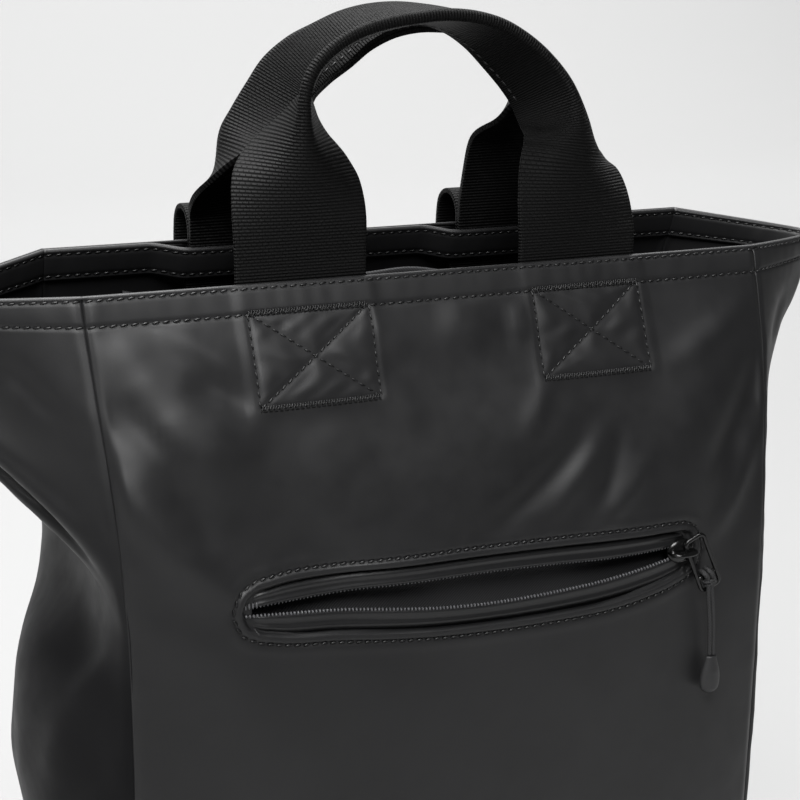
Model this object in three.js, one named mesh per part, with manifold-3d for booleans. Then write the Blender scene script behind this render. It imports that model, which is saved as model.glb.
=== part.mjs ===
// A convertible backpack: a tall tote in coated cloth with two webbing carry handles on the
// rim, two webbing shoulder straps on the back, and an open zipped pocket across the front.
// Millimetres. X runs to the right as the front is seen, -Y is the front and +Z is up.
// The origin is the middle of the underside of the base.
import * as THREE from "three";
import { mergeVertices } from "three/addons/utils/BufferGeometryUtils.js";
import Module from "manifold-3d";

// Body of the bag
const BODY_HEIGHT = 400; // floor to the front rim
const SEAM_WIDTH = 274; // between the side seams of the front panel, at the rim
const BODY_DEPTH = 120; // between the front and back seams of a gusset, low on the body
const BELLY = 10; // how far the middle of the front and back panels stands proud of their seams
const FLARE = 50; // how far a gusset's ridge stands out past the seams at the rim
const SWELL = 15; // how far a gusset rounds outwards low on the body
const BACK_SPREAD = 6; // how much further out the back seams lie than the front seams, low down
const FOLD_RISE = 30; // how much higher the gusset's cross fold is at its ridge than at its seams
const BACK_RISE = 5.5; // how much higher the back rim is than the front rim
const WALL = 1.4; // coated cloth with its turned seam
const SEAM_GAP = 0.3; // between two panels along a seam
const CLEARANCE = 0.5; // between layers that lie on each other
const RIDGE_ROUND = 0.25; // roundness of the gusset's ridge, as a share of half its width

// Rim and handles
const HEM_HEIGHT = 12; // depth of the facing inside the rim
const FACING = 1.2; // thickness of the facing
const FACING_RAMP = 6; // length over which the facing steps off a layer of webbing
const WEB_WIDTH = 50;
const WEB_THICKNESS = 2;
const HANDLE_SPACING = 113; // between the middles of a handle's two ends
const HANDLE_HEIGHT = 93; // rim to the top of the grip
const HANDLE_SETBACK = 5; // how far the grip leans into the bag
const HANDLE_TAIL = 43; // length of webbing sewn in below the rim
const FOLD_ANGLE = 90.4; // degrees that each half of the webbing turns where the grip is folded
const FOLD_BEND = 2.1; // half the length of webbing that takes the bend of a closed fold

// Zipped pocket
const ZIP_LENGTH = 187; // length of the opening in the front panel
const ZIP_HEIGHT = 26; // greatest height of the opening
const ZIP_BELOW_RIM = 112; // from the rim down to the line of the closed zip
const ZIP_OFFSET = 1.5; // from the middle of the bag to the middle of the opening
const TAPE_THICKNESS = 0.8;
const TAPE_HIDDEN = 6; // how far a tape runs on behind the edge of the opening
const COIL_HEIGHT = 1.8; // the bead of teeth along the free edge of a tape
const COIL_THICKNESS = 1.9;
const POUCH_DEPTH = 120; // from the zip's line down to the bottom of the pocket
const POUCH_ROOM = 7; // room inside the pocket, front to back
const POUCH_MARGIN = 12; // how far the pocket runs on past the ends and the top of the opening
const LINING = 1;
const MOUTH_MARGIN = 3; // how much wider the lining's opening is than the panel's, all round

// Slider, puller and cord
const SLIDER_LENGTH = 12.5;
const SLIDER_WIDTH = 10.5;
const SLIDER_PLATE = 1.6;
const SLIDER_POST = 2.2;
const ARCH_LENGTH = 9;
const ARCH_HEIGHT = 4.4;
const ARCH_BAR = 1.4;
const ARCH_WIDTH = 3.2;
const PULLER_LENGTH = 25;
const PULLER_WIDTH = 10.4;
const PULLER_BAR = 1.6;
const PULLER_THICKNESS = 1.5;
const PULLER_TURN = 24; // degrees from plumb
const CROSSBAR_RISE = 6; // from the puller's lower bar up to its crossbar
const HITCH_WIDTH = 4.6;
const HITCH_WRAP = 1.6;
const CORD_WIDTH = 3.3; // two strands side by side
const CORD_THICKNESS = 1.7;
const CORD_HANG = 31; // from the hitch to the cord end
const CORD_END_LENGTH = 16;
const CORD_END_WIDTH = 10;
const CORD_END_THICKNESS = 5;

// Shoulder straps
const STRAP_LOOP_HEIGHT = 12; // how far a strap stands above the back rim before it turns down
const STRAP_LOOP_DEPTH = 18;
const STRAP_FOOT = 92; // from the middle of the back to the middle of a strap's sewn lower end
const STRAP_FOOT_HEIGHT = 28; // floor to the lower edge of the strap
const STRAP_SLACK = 16; // how far the strap stands off the back, halfway down
const SLIDE_HEIGHT = 122; // floor to the middle bar of the strap's slide
const SLIDE_BAR = 3.4;
const SLIDE_PITCH = 10; // between two bars of the slide
const SLIDE_RAIL = 4;

// Inner sleeve on the back wall
const SLEEVE_WIDTH = 214;
const SLEEVE_HEIGHT = 270;
const SLEEVE_BELOW_RIM = 24; // back rim to the sleeve's free edge at its ends
const SLEEVE_DIP = 7; // how much the free edge waves
const SLEEVE_GAPE = 9;
const SLEEVE_STEP = 30; // height over which the sleeve steps off the wall to clear the webbing
const SLEEVE_WALL = 1.2;

// Rows of numbers under the names of their columns.
const table = (columns, rows) => rows.map((row) => (
  Object.fromEntries(columns.map((name, i) => [name, row[i]]))));

// Level sections of the body from the floor up. Height is a share of BODY_HEIGHT, width of half
// SEAM_WIDTH and depth of half BODY_DEPTH. The other columns are shares of the values of those
// names: left and right are of FLARE on each gusset, rise is of FOLD_RISE and lift of BACK_RISE.
const SECTIONS = table(["height", "width", "depth", "belly", "left", "right", "swell", "rise", "lift"], [
  [0.0, 0.925, 0.86, 0.45, 0, 0, 0.2, 0, 0],
  [0.017, 0.95, 0.945, 0.6, 0, 0, 0.45, 0, 0],
  [0.06, 0.963, 0.985, 0.72, 0, 0, 0.8, 0, 0],
  [0.22, 0.967, 1.0, 0.9, 0, 0, 1, 0, 0],
  [0.4, 0.965, 1.008, 0.95, 0, 0, 1, 0, 0],
  [0.54, 0.963, 1.008, 0.9, -0.02, 0, 0.95, 0.08, 0],
  [0.63, 0.962, 1.0, 0.9, -0.12, 0, 0.8, 0.25, 0.05],
  [0.68, 0.963, 0.99, 0.88, -0.16, 0, 0.62, 0.5, 0.1],
  [0.72, 0.965, 0.975, 0.86, -0.02, 0.1, 0.4, 0.82, 0.2],
  [0.745, 0.968, 0.958, 0.85, 0.5, 0.2, 0.22, 1, 0.3],
  [0.787, 0.972, 0.917, 0.8, 0.68, 0.32, 0.1, 0.8, 0.4],
  [0.837, 0.98, 0.85, 0.7, 0.76, 0.42, 0, 0.5, 0.55],
  [0.88, 0.987, 0.775, 0.55, 0.83, 0.54, 0, 0.25, 0.7],
  [0.915, 0.993, 0.7, 0.4, 0.89, 0.67, 0, 0.08, 0.8],
  [0.95, 0.997, 0.617, 0.25, 0.95, 0.82, 0, -0.06, 0.9],
  [0.97, 0.999, 0.567, 0.15, 0.98, 0.91, 0, -0.12, 0.95],
  [1.0, 1.0, 0.5, 0, 1, 1, 0, -0.2, 1],
]);

// Stops across a gusset from seam to seam, as shares of half its width.
const GUSSET_STOPS = [-1, -0.82, -0.62, -0.42, -0.24, -0.1, 0, 0.1, 0.24, 0.42, 0.62, 0.82, 1];

// Soft dents and ridges pressed into the front panel. Across and up place the middle, as shares of
// half SEAM_WIDTH and of BODY_HEIGHT; long and wide are the reach as shares of SEAM_WIDTH, turn is
// in degrees from level, and push is a share of BELLY, outwards where positive.
const DENTS = table(["across", "up", "long", "wide", "turn", "push"], [
  [-0.72, 0.87, 0.16, 0.05, -52, 0.35],
  [-0.56, 0.8, 0.2, 0.06, -50, -0.5],
  [-0.82, 0.73, 0.17, 0.055, -58, 0.3],
  [0.02, 0.9, 0.2, 0.075, 8, -0.25],
  [0.74, 0.86, 0.16, 0.06, 62, 0.3],
  [0.88, 0.76, 0.16, 0.06, 66, -0.35],
]);

// The grip of the front handle from its left end to its right end. Out is a share of half
// HANDLE_SPACING, up of HANDLE_HEIGHT, back of HANDLE_SETBACK and fold of FOLD_ANGLE. Turn is how
// many degrees the open edges of the folded webbing hang from straight back towards the hand.
const GRIP = table(["out", "up", "back", "fold", "turn"], [
  [-1.0, 0.09, 0, 0, 0],
  [-1.0, 0.22, 0, 0.04, 0],
  [-1.0, 0.35, 0.05, 0.14, 0],
  [-0.997, 0.44, 0.1, 0.41, 0],
  [-0.99, 0.52, 0.15, 0.63, 2],
  [-0.985, 0.6, 0.2, 0.82, 5],
  [-0.965, 0.69, 0.25, 1, 9],
  [-0.9, 0.775, 0.3, 1, 12],
  [-0.79, 0.85, 0.35, 1, 12],
  [-0.63, 0.914, 0.4, 1, 12],
  [-0.43, 0.955, 0.4, 1, 13],
  [-0.21, 0.974, 0.4, 1, 16],
  [0.0, 0.975, 0.4, 1, 22],
  [0.21, 0.958, 0.45, 1, 32],
  [0.4, 0.923, 0.55, 1, 43],
  [0.57, 0.87, 0.65, 1, 53],
  [0.73, 0.795, 0.8, 1, 60],
  [0.86, 0.705, 0.9, 0.96, 58],
  [0.94, 0.615, 1, 0.84, 44],
  [0.98, 0.53, 0.9, 0.64, 26],
  [1.0, 0.44, 0.6, 0.4, 11],
  [1.0, 0.35, 0.3, 0.15, 3],
  [1.0, 0.22, 0.1, 0.04, 0],
  [1.0, 0.09, 0, 0, 0],
]);

// The zip from its left end to its right end. Along is a share of half ZIP_LENGTH. The other
// columns are heights above the closed zip's line as shares of ZIP_HEIGHT: the edges of the
// opening, and the free edges of the upper and lower tapes.
const ZIP = table(["along", "top", "bottom", "upper", "lower"], [
  [-1.0, 0.09, 0.06, 0.12, 0.04],
  [-0.985, 0.22, -0.08, 0.125, 0.03],
  [-0.95, 0.32, -0.18, 0.13, 0.02],
  [-0.88, 0.37, -0.26, 0.14, 0.0],
  [-0.64, 0.4, -0.37, 0.15, -0.08],
  [-0.4, 0.41, -0.49, 0.155, -0.19],
  [0.0, 0.4, -0.58, 0.155, -0.31],
  [0.33, 0.37, -0.6, 0.11, -0.305],
  [0.57, 0.33, -0.575, 0.06, -0.26],
  [0.75, 0.31, -0.5, 0.055, -0.185],
  [0.88, 0.3, -0.41, 0.06, -0.12],
  [0.95, 0.26, -0.32, 0.06, -0.1],
  [0.985, 0.16, -0.21, 0.06, -0.1],
  [1.0, 0.0, -0.03, 0.06, -0.1],
]);

const wasm = await Module();
wasm.setup();

const vector = (x, y, z) => new THREE.Vector3(x, y, z);
const mix = (a, b, share) => a + (b - a) * share;
const smooth = (share) => {
  const t = Math.min(1, Math.max(0, share));
  return t * t * (3 - 2 * t);
};

// Finishes
function finish(color, roughness, metalness = 0) {
  return new THREE.MeshStandardMaterial({ color, roughness, metalness });
}
const coatedCloth = finish("#2b2b2d", 0.5);
const webbing = finish("#161616", 0.85);
const liningCloth = finish("#1b1b1c", 0.8);
const zipTape = finish("#202022", 0.6);
const blackMetal = finish("#151515", 0.3, 0.8);
const cordWeave = finish("#1a1a1a", 0.8);
const softPlastic = finish("#2a2a2b", 0.55);

// Mesh building

// Triangles as a geometry, turned so that its faces point outwards.
function closedSurface(points, faces) {
  let volume = 0;
  for (const [a, b, c] of faces) volume += points[a].dot(points[b].clone().cross(points[c]));
  const geometry = new THREE.BufferGeometry().setFromPoints(points);
  geometry.setIndex(faces.flatMap(([a, b, c]) => (volume < 0 ? [a, c, b] : [a, b, c])));
  return geometry;
}

// A slab between two grids of points of the same size. A round slab closes on itself, so that its
// last column joins its first.
function slab(outer, inner, round = false) {
  const rows = outer.length;
  const columns = outer[0].length;
  const steps = round ? columns : columns - 1;
  const points = [...outer.flat(), ...inner.flat()];
  const under = rows * columns;
  const faces = [];
  const quad = (a, b, c, d) => faces.push([a, b, c], [a, c, d]);
  const at = (r, c) => r * columns + (c % columns);
  for (let c = 0; c < steps; c++) {
    for (let r = 0; r + 1 < rows; r++) {
      quad(at(r, c), at(r, c + 1), at(r + 1, c + 1), at(r + 1, c));
      quad(under + at(r, c), under + at(r + 1, c), under + at(r + 1, c + 1), under + at(r, c + 1));
    }
    const top = rows - 1;
    quad(at(0, c + 1), at(0, c), under + at(0, c), under + at(0, c + 1));
    quad(at(top, c), at(top, c + 1), under + at(top, c + 1), under + at(top, c));
  }
  for (let r = 0; r + 1 < rows && !round; r++) {
    quad(at(r, 0), at(r + 1, 0), under + at(r + 1, 0), under + at(r, 0));
    quad(at(r + 1, steps), at(r, steps), under + at(r, steps), under + at(r + 1, steps));
  }
  return closedSurface(points, faces);
}

function toSolid(geometry) {
  const bare = new THREE.BufferGeometry().setAttribute("position", geometry.getAttribute("position"));
  bare.setIndex(geometry.index);
  const merged = mergeVertices(bare, 1e-3);
  return new wasm.Manifold(new wasm.Mesh({
    numProp: 3,
    vertProperties: merged.attributes.position.array,
    triVerts: new Uint32Array(merged.index.array),
  }));
}

function toGeometry(solid) {
  const mesh = solid.getMesh();
  const geometry = new THREE.BufferGeometry();
  geometry.setAttribute("position", new THREE.BufferAttribute(mesh.vertProperties, 3));
  geometry.setIndex(new THREE.BufferAttribute(mesh.triVerts, 1));
  return geometry;
}

const joined = (...geometries) => toGeometry(geometries.map(toSolid).reduce((all, one) => all.add(one)));
const boxBetween = (low, high) => {
  const size = high.clone().sub(low);
  const middle = low.clone().add(high).multiplyScalar(0.5);
  return new THREE.BoxGeometry(size.x, size.y, size.z).translate(middle.x, middle.y, middle.z);
};

// An outline in x and z pushed from y = front to y = back.
function platePast(outline, front, back) {
  const shape = new THREE.Shape(outline.map(([x, z]) => new THREE.Vector2(x, z)));
  const plate = new THREE.ExtrudeGeometry(shape, { depth: back - front, bevelEnabled: false });
  return plate.rotateX(Math.PI / 2).translate(0, back, 0);
}

const bag = new THREE.Group();
function piece(name, geometry, material) {
  const mesh = new THREE.Mesh(geometry, material);
  mesh.name = name;
  bag.add(mesh);
}

// Shape of the body

const webInner = (HANDLE_SPACING - WEB_WIDTH) / 2;
const webOuter = (HANDLE_SPACING + WEB_WIDTH) / 2;
const seam = SEAM_WIDTH / 2;
const halfStops = [
  0,
  webInner - FACING_RAMP,
  webInner,
  HANDLE_SPACING / 2,
  webOuter,
  webOuter + FACING_RAMP,
  mix(webOuter + FACING_RAMP, seam, 0.36),
  mix(webOuter + FACING_RAMP, seam, 0.7),
  seam,
].map((x) => x / seam);
const PANEL_STOPS = [...halfStops.slice(1).reverse().map((u) => -u), ...halfStops];

// Height of a gusset's ridge above its seams, from 0 at a seam to 1 in the middle.
function ridge(u) {
  const edge = Math.hypot(1, RIDGE_ROUND);
  return (edge - Math.hypot(u, RIDGE_ROUND)) / (edge - RIDGE_ROUND);
}

// How far the dents push the front panel outwards at a place.
function dentPush(x, z) {
  let push = 0;
  for (const dent of DENTS) {
    const turn = THREE.MathUtils.degToRad(dent.turn);
    const dx = x - dent.across * seam;
    const dz = z - dent.up * BODY_HEIGHT;
    const along = (dx * Math.cos(turn) + dz * Math.sin(turn)) / (dent.long * SEAM_WIDTH);
    const over = (dz * Math.cos(turn) - dx * Math.sin(turn)) / (dent.wide * SEAM_WIDTH);
    push += dent.push * BELLY * Math.exp(-(along ** 2) - over ** 2);
  }
  return push;
}

// The outer surface of the body at a stop u of a face, on one section.
function bodyPoint(face, u, section) {
  const width = section.width * seam;
  const depth = (section.depth * BODY_DEPTH) / 2;
  const height = Math.max(section.height * BODY_HEIGHT, WALL + SEAM_GAP);
  const lift = section.lift * BACK_RISE;
  const spread = section.swell * BACK_SPREAD;
  const belly = section.belly * BELLY * (1 - Math.abs(u) ** 3);
  if (face === "front") {
    const fade = (1 - u ** 6) * smooth((1 - section.height) * 12);
    return vector(width * u, -depth - belly - dentPush(width * u, height) * fade, height);
  }
  if (face === "back") return vector(-(width + spread) * u, depth + belly, height + lift);
  const side = face === "right_gusset" ? 1 : -1;
  const flare = side > 0 ? section.right : section.left;
  const back = (1 + side * u) / 2;
  const x = width + spread * back + flare * FLARE * ridge(u) + section.swell * SWELL * (1 - u ** 4);
  const z = height + section.rise * FOLD_RISE * ridge(u) + lift * back;
  return vector(side * x, side * depth * u, z);
}

// One loop round the body, where the faces that meet at a seam share its stop.
const FACES = {
  front: PANEL_STOPS,
  right_gusset: GUSSET_STOPS,
  back: PANEL_STOPS,
  left_gusset: GUSSET_STOPS,
};
const LOOP = Object.entries(FACES).flatMap(([face, stops]) => stops.slice(0, -1).map((u) => ({ face, u })));
const firstStop = (face) => LOOP.findIndex((stop) => stop.face === face);

const body = SECTIONS.map((section) => LOOP.map(({ face, u }) => bodyPoint(face, u, section)));

// The way into the bag at a point of the loop, long enough at a seam to keep the wall's thickness
// on both of the faces that meet there.
function inwardAt(r, i) {
  const loop = body[r];
  const before = loop[i].clone().sub(loop[(i + loop.length - 1) % loop.length]).normalize();
  const after = loop[(i + 1) % loop.length].clone().sub(loop[i]).normalize();
  const up = body[Math.min(r + 1, body.length - 1)][i].clone().sub(body[Math.max(r - 1, 0)][i]);
  const normalBefore = up.clone().cross(before).normalize();
  const normalAfter = up.clone().cross(after).normalize();
  const middle = normalBefore.add(normalAfter).normalize();
  return middle.divideScalar(Math.max(0.6, middle.dot(normalAfter)));
}
const inward = body.map((loop, r) => loop.map((point, i) => inwardAt(r, i)));

// Loop point i of section r, moved a distance into the bag.
function inset(r, i, distance) {
  const index = i % LOOP.length;
  return body[r][index].clone().addScaledVector(inward[r][index], distance);
}

// A face's own grid of points at a distance into the bag, drawn back from its seams.
function faceGrid(face, distance) {
  const start = firstStop(face);
  return body.map((loop, r) => {
    const row = FACES[face].map((u, i) => inset(r, start + i, distance));
    const last = row.length - 1;
    row[0].add(row[1].clone().sub(row[0]).setLength(SEAM_GAP / 2));
    row[last].add(row[last - 1].clone().sub(row[last]).setLength(SEAM_GAP / 2));
    return row;
  });
}

// The point at x on section r of the front or back, moved a distance into the bag.
function onSection(face, r, x, distance) {
  const start = firstStop(face);
  const along = face === "front" ? 1 : -1;
  const last = start + FACES[face].length - 2;
  let i = start;
  while (i < last && along * inset(r, i + 1, distance).x < along * x) i++;
  const from = inset(r, i, distance);
  const to = inset(r, i + 1, distance);
  return from.lerp(to, (x - from.x) / (to.x - from.x));
}

// The point at x and z on the front or back, moved a distance into the bag.
function onWall(face, x, z, distance) {
  let r = 0;
  while (r < body.length - 2 && onSection(face, r + 1, x, distance).z < z) r++;
  const from = onSection(face, r, x, distance);
  const to = onSection(face, r + 1, x, distance);
  return from.lerp(to, (z - from.z) / (to.z - from.z));
}

// Panels, base and facing

const zipLine = BODY_HEIGHT - ZIP_BELOW_RIM;
const zipX = (along) => ZIP_OFFSET + (along * ZIP_LENGTH) / 2;
const zipZ = (share) => zipLine + share * ZIP_HEIGHT;
const zipOutline = [
  ...ZIP.map((row) => [zipX(row.along), zipZ(row.bottom)]),
  ...ZIP.map((row) => [zipX(row.along), zipZ(row.top)]).reverse(),
];

function frontPanel() {
  const whole = toSolid(slab(faceGrid("front", 0), faceGrid("front", WALL)));
  return toGeometry(whole.subtract(toSolid(platePast(zipOutline, -BODY_DEPTH, 0))));
}

function basePanel() {
  const outline = body[0].map((point) => new THREE.Vector2(point.x, point.y));
  return new THREE.ExtrudeGeometry(new THREE.Shape(outline), { depth: WALL, bevelEnabled: false });
}

const layerDepth = (layers) => WALL + CLEARANCE + layers * (WEB_THICKNESS + CLEARANCE);

// The facing steps inwards over one layer of webbing in front and two behind.
function facingDepth({ face, u }) {
  if (face !== "front" && face !== "back") return layerDepth(0);
  const x = Math.abs(u) * seam;
  const covered = x > webInner - CLEARANCE && x < webOuter + CLEARANCE;
  return layerDepth(covered ? (face === "front" ? 1 : 2) : 0);
}

function rimFacing() {
  const top = body.length - 1;
  const hem = (distance) => {
    const share = 1 - HEM_HEIGHT / BODY_HEIGHT;
    let r = top - 1;
    while (SECTIONS[r].height > share + 1e-6) r--;
    const part = (share - SECTIONS[r].height) / (SECTIONS[r + 1].height - SECTIONS[r].height);
    const row = (at) => LOOP.map((stop, i) => inset(at, i, facingDepth(stop) + distance));
    const [low, high] = [row(r), row(r + 1)];
    const bottom = low.map((point, i) => point.lerp(high[i], part));
    return [bottom, row(top)];
  };
  return slab(hem(0), hem(FACING), true);
}

piece("front_panel", frontPanel(), coatedCloth);
piece("right_gusset", slab(faceGrid("right_gusset", 0), faceGrid("right_gusset", WALL)), coatedCloth);
piece("back_panel", slab(faceGrid("back", 0), faceGrid("back", WALL)), coatedCloth);
piece("left_gusset", slab(faceGrid("left_gusset", 0), faceGrid("left_gusset", WALL)), coatedCloth);
piece("base_panel", basePanel(), coatedCloth);
piece("rim_facing", rimFacing(), coatedCloth);

// Handles

// Points across a band of webbing at one place on its course. The middle of the band's width is
// the crease of the fold; bend turns each half about it, and turn swings the open edges.
function acrossBand(middle, tangent, front, fold, turn) {
  const angle = THREE.MathUtils.degToRad(fold * FOLD_ANGLE);
  const swing = THREE.MathUtils.degToRad(turn);
  const side = tangent.clone().cross(front).normalize();
  const crease = front.clone().multiplyScalar(Math.cos(swing)).addScaledVector(side, -Math.sin(swing));
  const width = side.clone().multiplyScalar(Math.cos(swing)).addScaledVector(front, Math.sin(swing));
  const bend = mix(WEB_WIDTH * 0.4, FOLD_BEND, smooth(fold));
  const half = WEB_WIDTH / 2;
  const stops = [0, 0.5, 1].map((share) => share * bend).concat([mix(bend, half, 0.5), half]);
  const halfBand = stops.map((s) => {
    const turned = (angle * Math.min(s, bend)) / bend;
    const radius = angle > 1e-6 ? bend / angle : 0;
    const straight = Math.max(0, s - bend);
    const over = angle > 1e-6 ? radius * Math.sin(turned) : Math.min(s, bend);
    const down = radius * (1 - Math.cos(turned));
    return {
      over: over + straight * Math.cos(angle),
      down: down + straight * Math.sin(angle),
      turned,
    };
  });
  const place = ({ over, down, turned }, sign, offset) => middle.clone()
    .addScaledVector(width, sign * (over + offset * Math.sin(turned)))
    .addScaledVector(crease, offset * Math.cos(turned) - down);
  const line = (offset) => [
    ...halfBand.slice(1).reverse().map((stop) => place(stop, -1, offset)),
    ...halfBand.map((stop) => place(stop, 1, offset)),
  ];
  return { outer: line(WEB_THICKNESS / 2), inner: line(-WEB_THICKNESS / 2) };
}

// A handle on the front rim, or the same handle turned half round for the back rim.
function handle(face, layer) {
  const side = face === "front" ? 1 : -1;
  const rim = BODY_HEIGHT + (face === "front" ? 0 : BACK_RISE);
  const depth = layerDepth(layer);
  const flat = acrossBand(vector(0, 0, 0), vector(0, 0, 1), vector(0, -1, 0), 0, 0);
  const tail = (end, down) => {
    const row = (distance) => flat.outer.map(({ x }) => {
      const across = side * end * (HANDLE_SPACING / 2 - x);
      return down === 0
        ? onSection(face, body.length - 1, across, distance)
        : onWall(face, across, rim - down, distance);
    });
    return { outer: row(depth), inner: row(depth + WEB_THICKNESS) };
  };
  const rimY = onSection(face, body.length - 1, side * HANDLE_SPACING / 2, depth + WEB_THICKNESS / 2).y;
  const course = GRIP.map(({ out, up, back }) => vector(
    (side * out * HANDLE_SPACING) / 2,
    rimY + side * back * HANDLE_SETBACK,
    rim + up * HANDLE_HEIGHT,
  ));
  const grip = GRIP.map(({ fold, turn }, i) => {
    const before = course[Math.max(i - 1, 0)];
    const after = course[Math.min(i + 1, course.length - 1)];
    const tangent = i === 0 || i === course.length - 1
      ? vector(0, 0, i === 0 ? 1 : -1)
      : after.clone().sub(before).normalize();
    const front = vector(0, -side, 0);
    front.addScaledVector(tangent, -front.dot(tangent)).normalize();
    return acrossBand(course[i], tangent, front, fold, turn);
  });
  const steps = [1, 0.66, 0.33, 0].map((share) => share * HANDLE_TAIL);
  const rows = [
    ...steps.map((down) => tail(-1, down)),
    ...grip,
    ...steps.slice().reverse().map((down) => tail(1, down)),
  ];
  return slab(rows.map((row) => row.outer), rows.map((row) => row.inner));
}

piece("front_handle", handle("front", 0), webbing);
piece("rear_handle", handle("back", 1), webbing);

// Shoulder straps on the back

// How far sideways the middle of a strap lies at a height.
const backRim = BODY_HEIGHT + BACK_RISE;
const strapX = (z) => {
  const share = (z - STRAP_FOOT_HEIGHT) / (BODY_HEIGHT * 0.9 - STRAP_FOOT_HEIGHT);
  return mix(STRAP_FOOT, HANDLE_SPACING / 2, smooth(share));
};

// The lines across a strap from its end inside the hem, over the rim and down to its foot, which
// is sewn flat on the back. Each has the middle of the webbing at its two edges and its centre.
function strapLines(side) {
  const layer = layerDepth(0) + WEB_THICKNESS / 2;
  const x = (side * HANDLE_SPACING) / 2;
  const edges = (middle) => [-1, 0, 1].map((share) => middle + (share * WEB_WIDTH) / 2);
  const inside = [HEM_HEIGHT * 1.6, HEM_HEIGHT * 0.8].map((down) => (
    edges(x).map((across) => onWall("back", across, backRim - down, layer))));
  const rim = edges(x).map((across) => onSection("back", body.length - 1, across, layer));
  const radius = STRAP_LOOP_DEPTH / 2;
  const crown = backRim + STRAP_LOOP_HEIGHT - radius - WEB_THICKNESS / 2;
  const over = [0, 0.2, 0.4, 0.6, 0.8, 1].map((share) => {
    const angle = Math.PI * share;
    return rim.map((point) => vector(
      point.x,
      rim[1].y + radius * (1 - Math.cos(angle)),
      crown + radius * Math.sin(angle),
    ));
  });
  const down = [0.06, 0.13, 0.21, 0.3, 0.4, 0.5, 0.6, 0.7, 0.8, 0.85, 0.9, 0.95, 1].map((share) => {
    const z = mix(backRim, STRAP_FOOT_HEIGHT, share);
    const seats = edges(side * strapX(z)).map((across) => (
      onWall("back", across, z, -CLEARANCE - WEB_THICKNESS / 2)));
    const outermost = Math.max(...seats.map((seat) => seat.y));
    const hang = mix(rim[1].y + STRAP_LOOP_DEPTH, outermost + STRAP_SLACK, smooth(share / 0.45));
    const clear = Math.max(hang, outermost + WEB_THICKNESS);
    const seated = smooth((share - 0.8) / 0.15);
    return seats.map((seat) => vector(seat.x, mix(clear, seat.y, seated), z));
  });
  return [...inside, rim, ...over, ...down];
}

function shoulderStrap(side) {
  const lines = strapLines(side);
  const last = lines.length - 1;
  const face = (sign) => lines.map((line, i) => line.map((point, column) => {
    const tangent = lines[Math.min(i + 1, last)][column].clone().sub(lines[Math.max(i - 1, 0)][column]);
    const out = line[2].clone().sub(line[0]).cross(tangent).normalize();
    return point.clone().addScaledVector(out, (sign * WEB_THICKNESS) / 2);
  }));
  return slab(face(1), face(-1));
}

// The slide on a strap: two bars lie over the webbing and one behind it, between two rails.
function strapSlide(side) {
  const course = strapLines(side).map((line) => line[1]);
  const at = course.findIndex((point, i) => i > course.length / 2 && point.z < SLIDE_HEIGHT);
  const [above, below] = [course[at - 1], course[at]];
  const middle = above.clone().lerp(below, (above.z - SLIDE_HEIGHT) / (above.z - below.z));
  const reach = WEB_WIDTH / 2 + CLEARANCE * 2;
  const off = WEB_THICKNESS / 2 + CLEARANCE;
  const bar = (z, front, back) => boxBetween(
    vector(-reach - SLIDE_RAIL / 2, front, z - SLIDE_BAR / 2),
    vector(reach + SLIDE_RAIL / 2, back, z + SLIDE_BAR / 2),
  );
  const rail = (end) => boxBetween(
    vector(end * (reach + SLIDE_RAIL / 2) - SLIDE_RAIL / 2, -off - SLIDE_BAR, -SLIDE_PITCH - SLIDE_BAR / 2),
    vector(end * (reach + SLIDE_RAIL / 2) + SLIDE_RAIL / 2, off + SLIDE_BAR, SLIDE_PITCH + SLIDE_BAR / 2),
  );
  const slide = joined(
    rail(-1),
    rail(1),
    bar(0, -off - SLIDE_BAR, -off),
    bar(SLIDE_PITCH, off, off + SLIDE_BAR),
    bar(-SLIDE_PITCH, off, off + SLIDE_BAR),
  );
  const rise = above.z - below.z;
  const lean = Math.atan2(above.y - below.y, rise);
  const slant = Math.atan2(above.x - below.x, rise);
  return slide.rotateX(-lean).rotateY(slant).translate(middle.x, middle.y, middle.z);
}

for (const [name, side] of [["left", -1], ["right", 1]]) {
  piece(name + "_shoulder_strap", shoulderStrap(side), webbing);
  piece(name + "_strap_slide", strapSlide(side), softPlastic);
}

// Zipped pocket

const tapeDepth = WALL + CLEARANCE;

// One tape of the zip, from its edge hidden behind the panel to the coil along its free edge.
function tape(edge, free) {
  const away = free === "upper" ? 1 : -1;
  const ends = [
    { ...ZIP[0], along: -1 - (2 * TAPE_HIDDEN) / ZIP_LENGTH },
    ...ZIP,
    { ...ZIP[ZIP.length - 1], along: 1 + (2 * TAPE_HIDDEN) / ZIP_LENGTH },
  ];
  const columns = ends.map((row) => {
    const coil = zipZ(row[free]);
    const hidden = zipZ(row[edge]) + away * TAPE_HIDDEN;
    const shoulder = coil + away * COIL_HEIGHT;
    const levels = [coil, mix(coil, shoulder, 0.5), shoulder, mix(shoulder, hidden, 0.5), hidden];
    return { x: zipX(row.along), levels };
  });
  const bead = (COIL_THICKNESS - TAPE_THICKNESS) / 2;
  const swell = [bead * 0.5, bead, 0, 0, 0];
  const grid = (distance, sign) => swell.map((out, level) => columns.map(({ x, levels }) => (
    onWall("front", x, levels[level], tapeDepth + bead + distance + sign * out))));
  return slab(grid(0, -1), grid(TAPE_THICKNESS, 1));
}

// Points over the opening, wider than it by a margin and at a distance into the bag.
function zipGrid(margin, distance) {
  const widen = 1 + (2 * margin) / ZIP_LENGTH;
  return [0, 1].map((level) => ZIP.map((row) => {
    const z = mix(zipZ(row.bottom) - margin, zipZ(row.top) + margin, level);
    return onWall("front", zipX(row.along * widen), z, distance);
  }));
}

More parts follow.
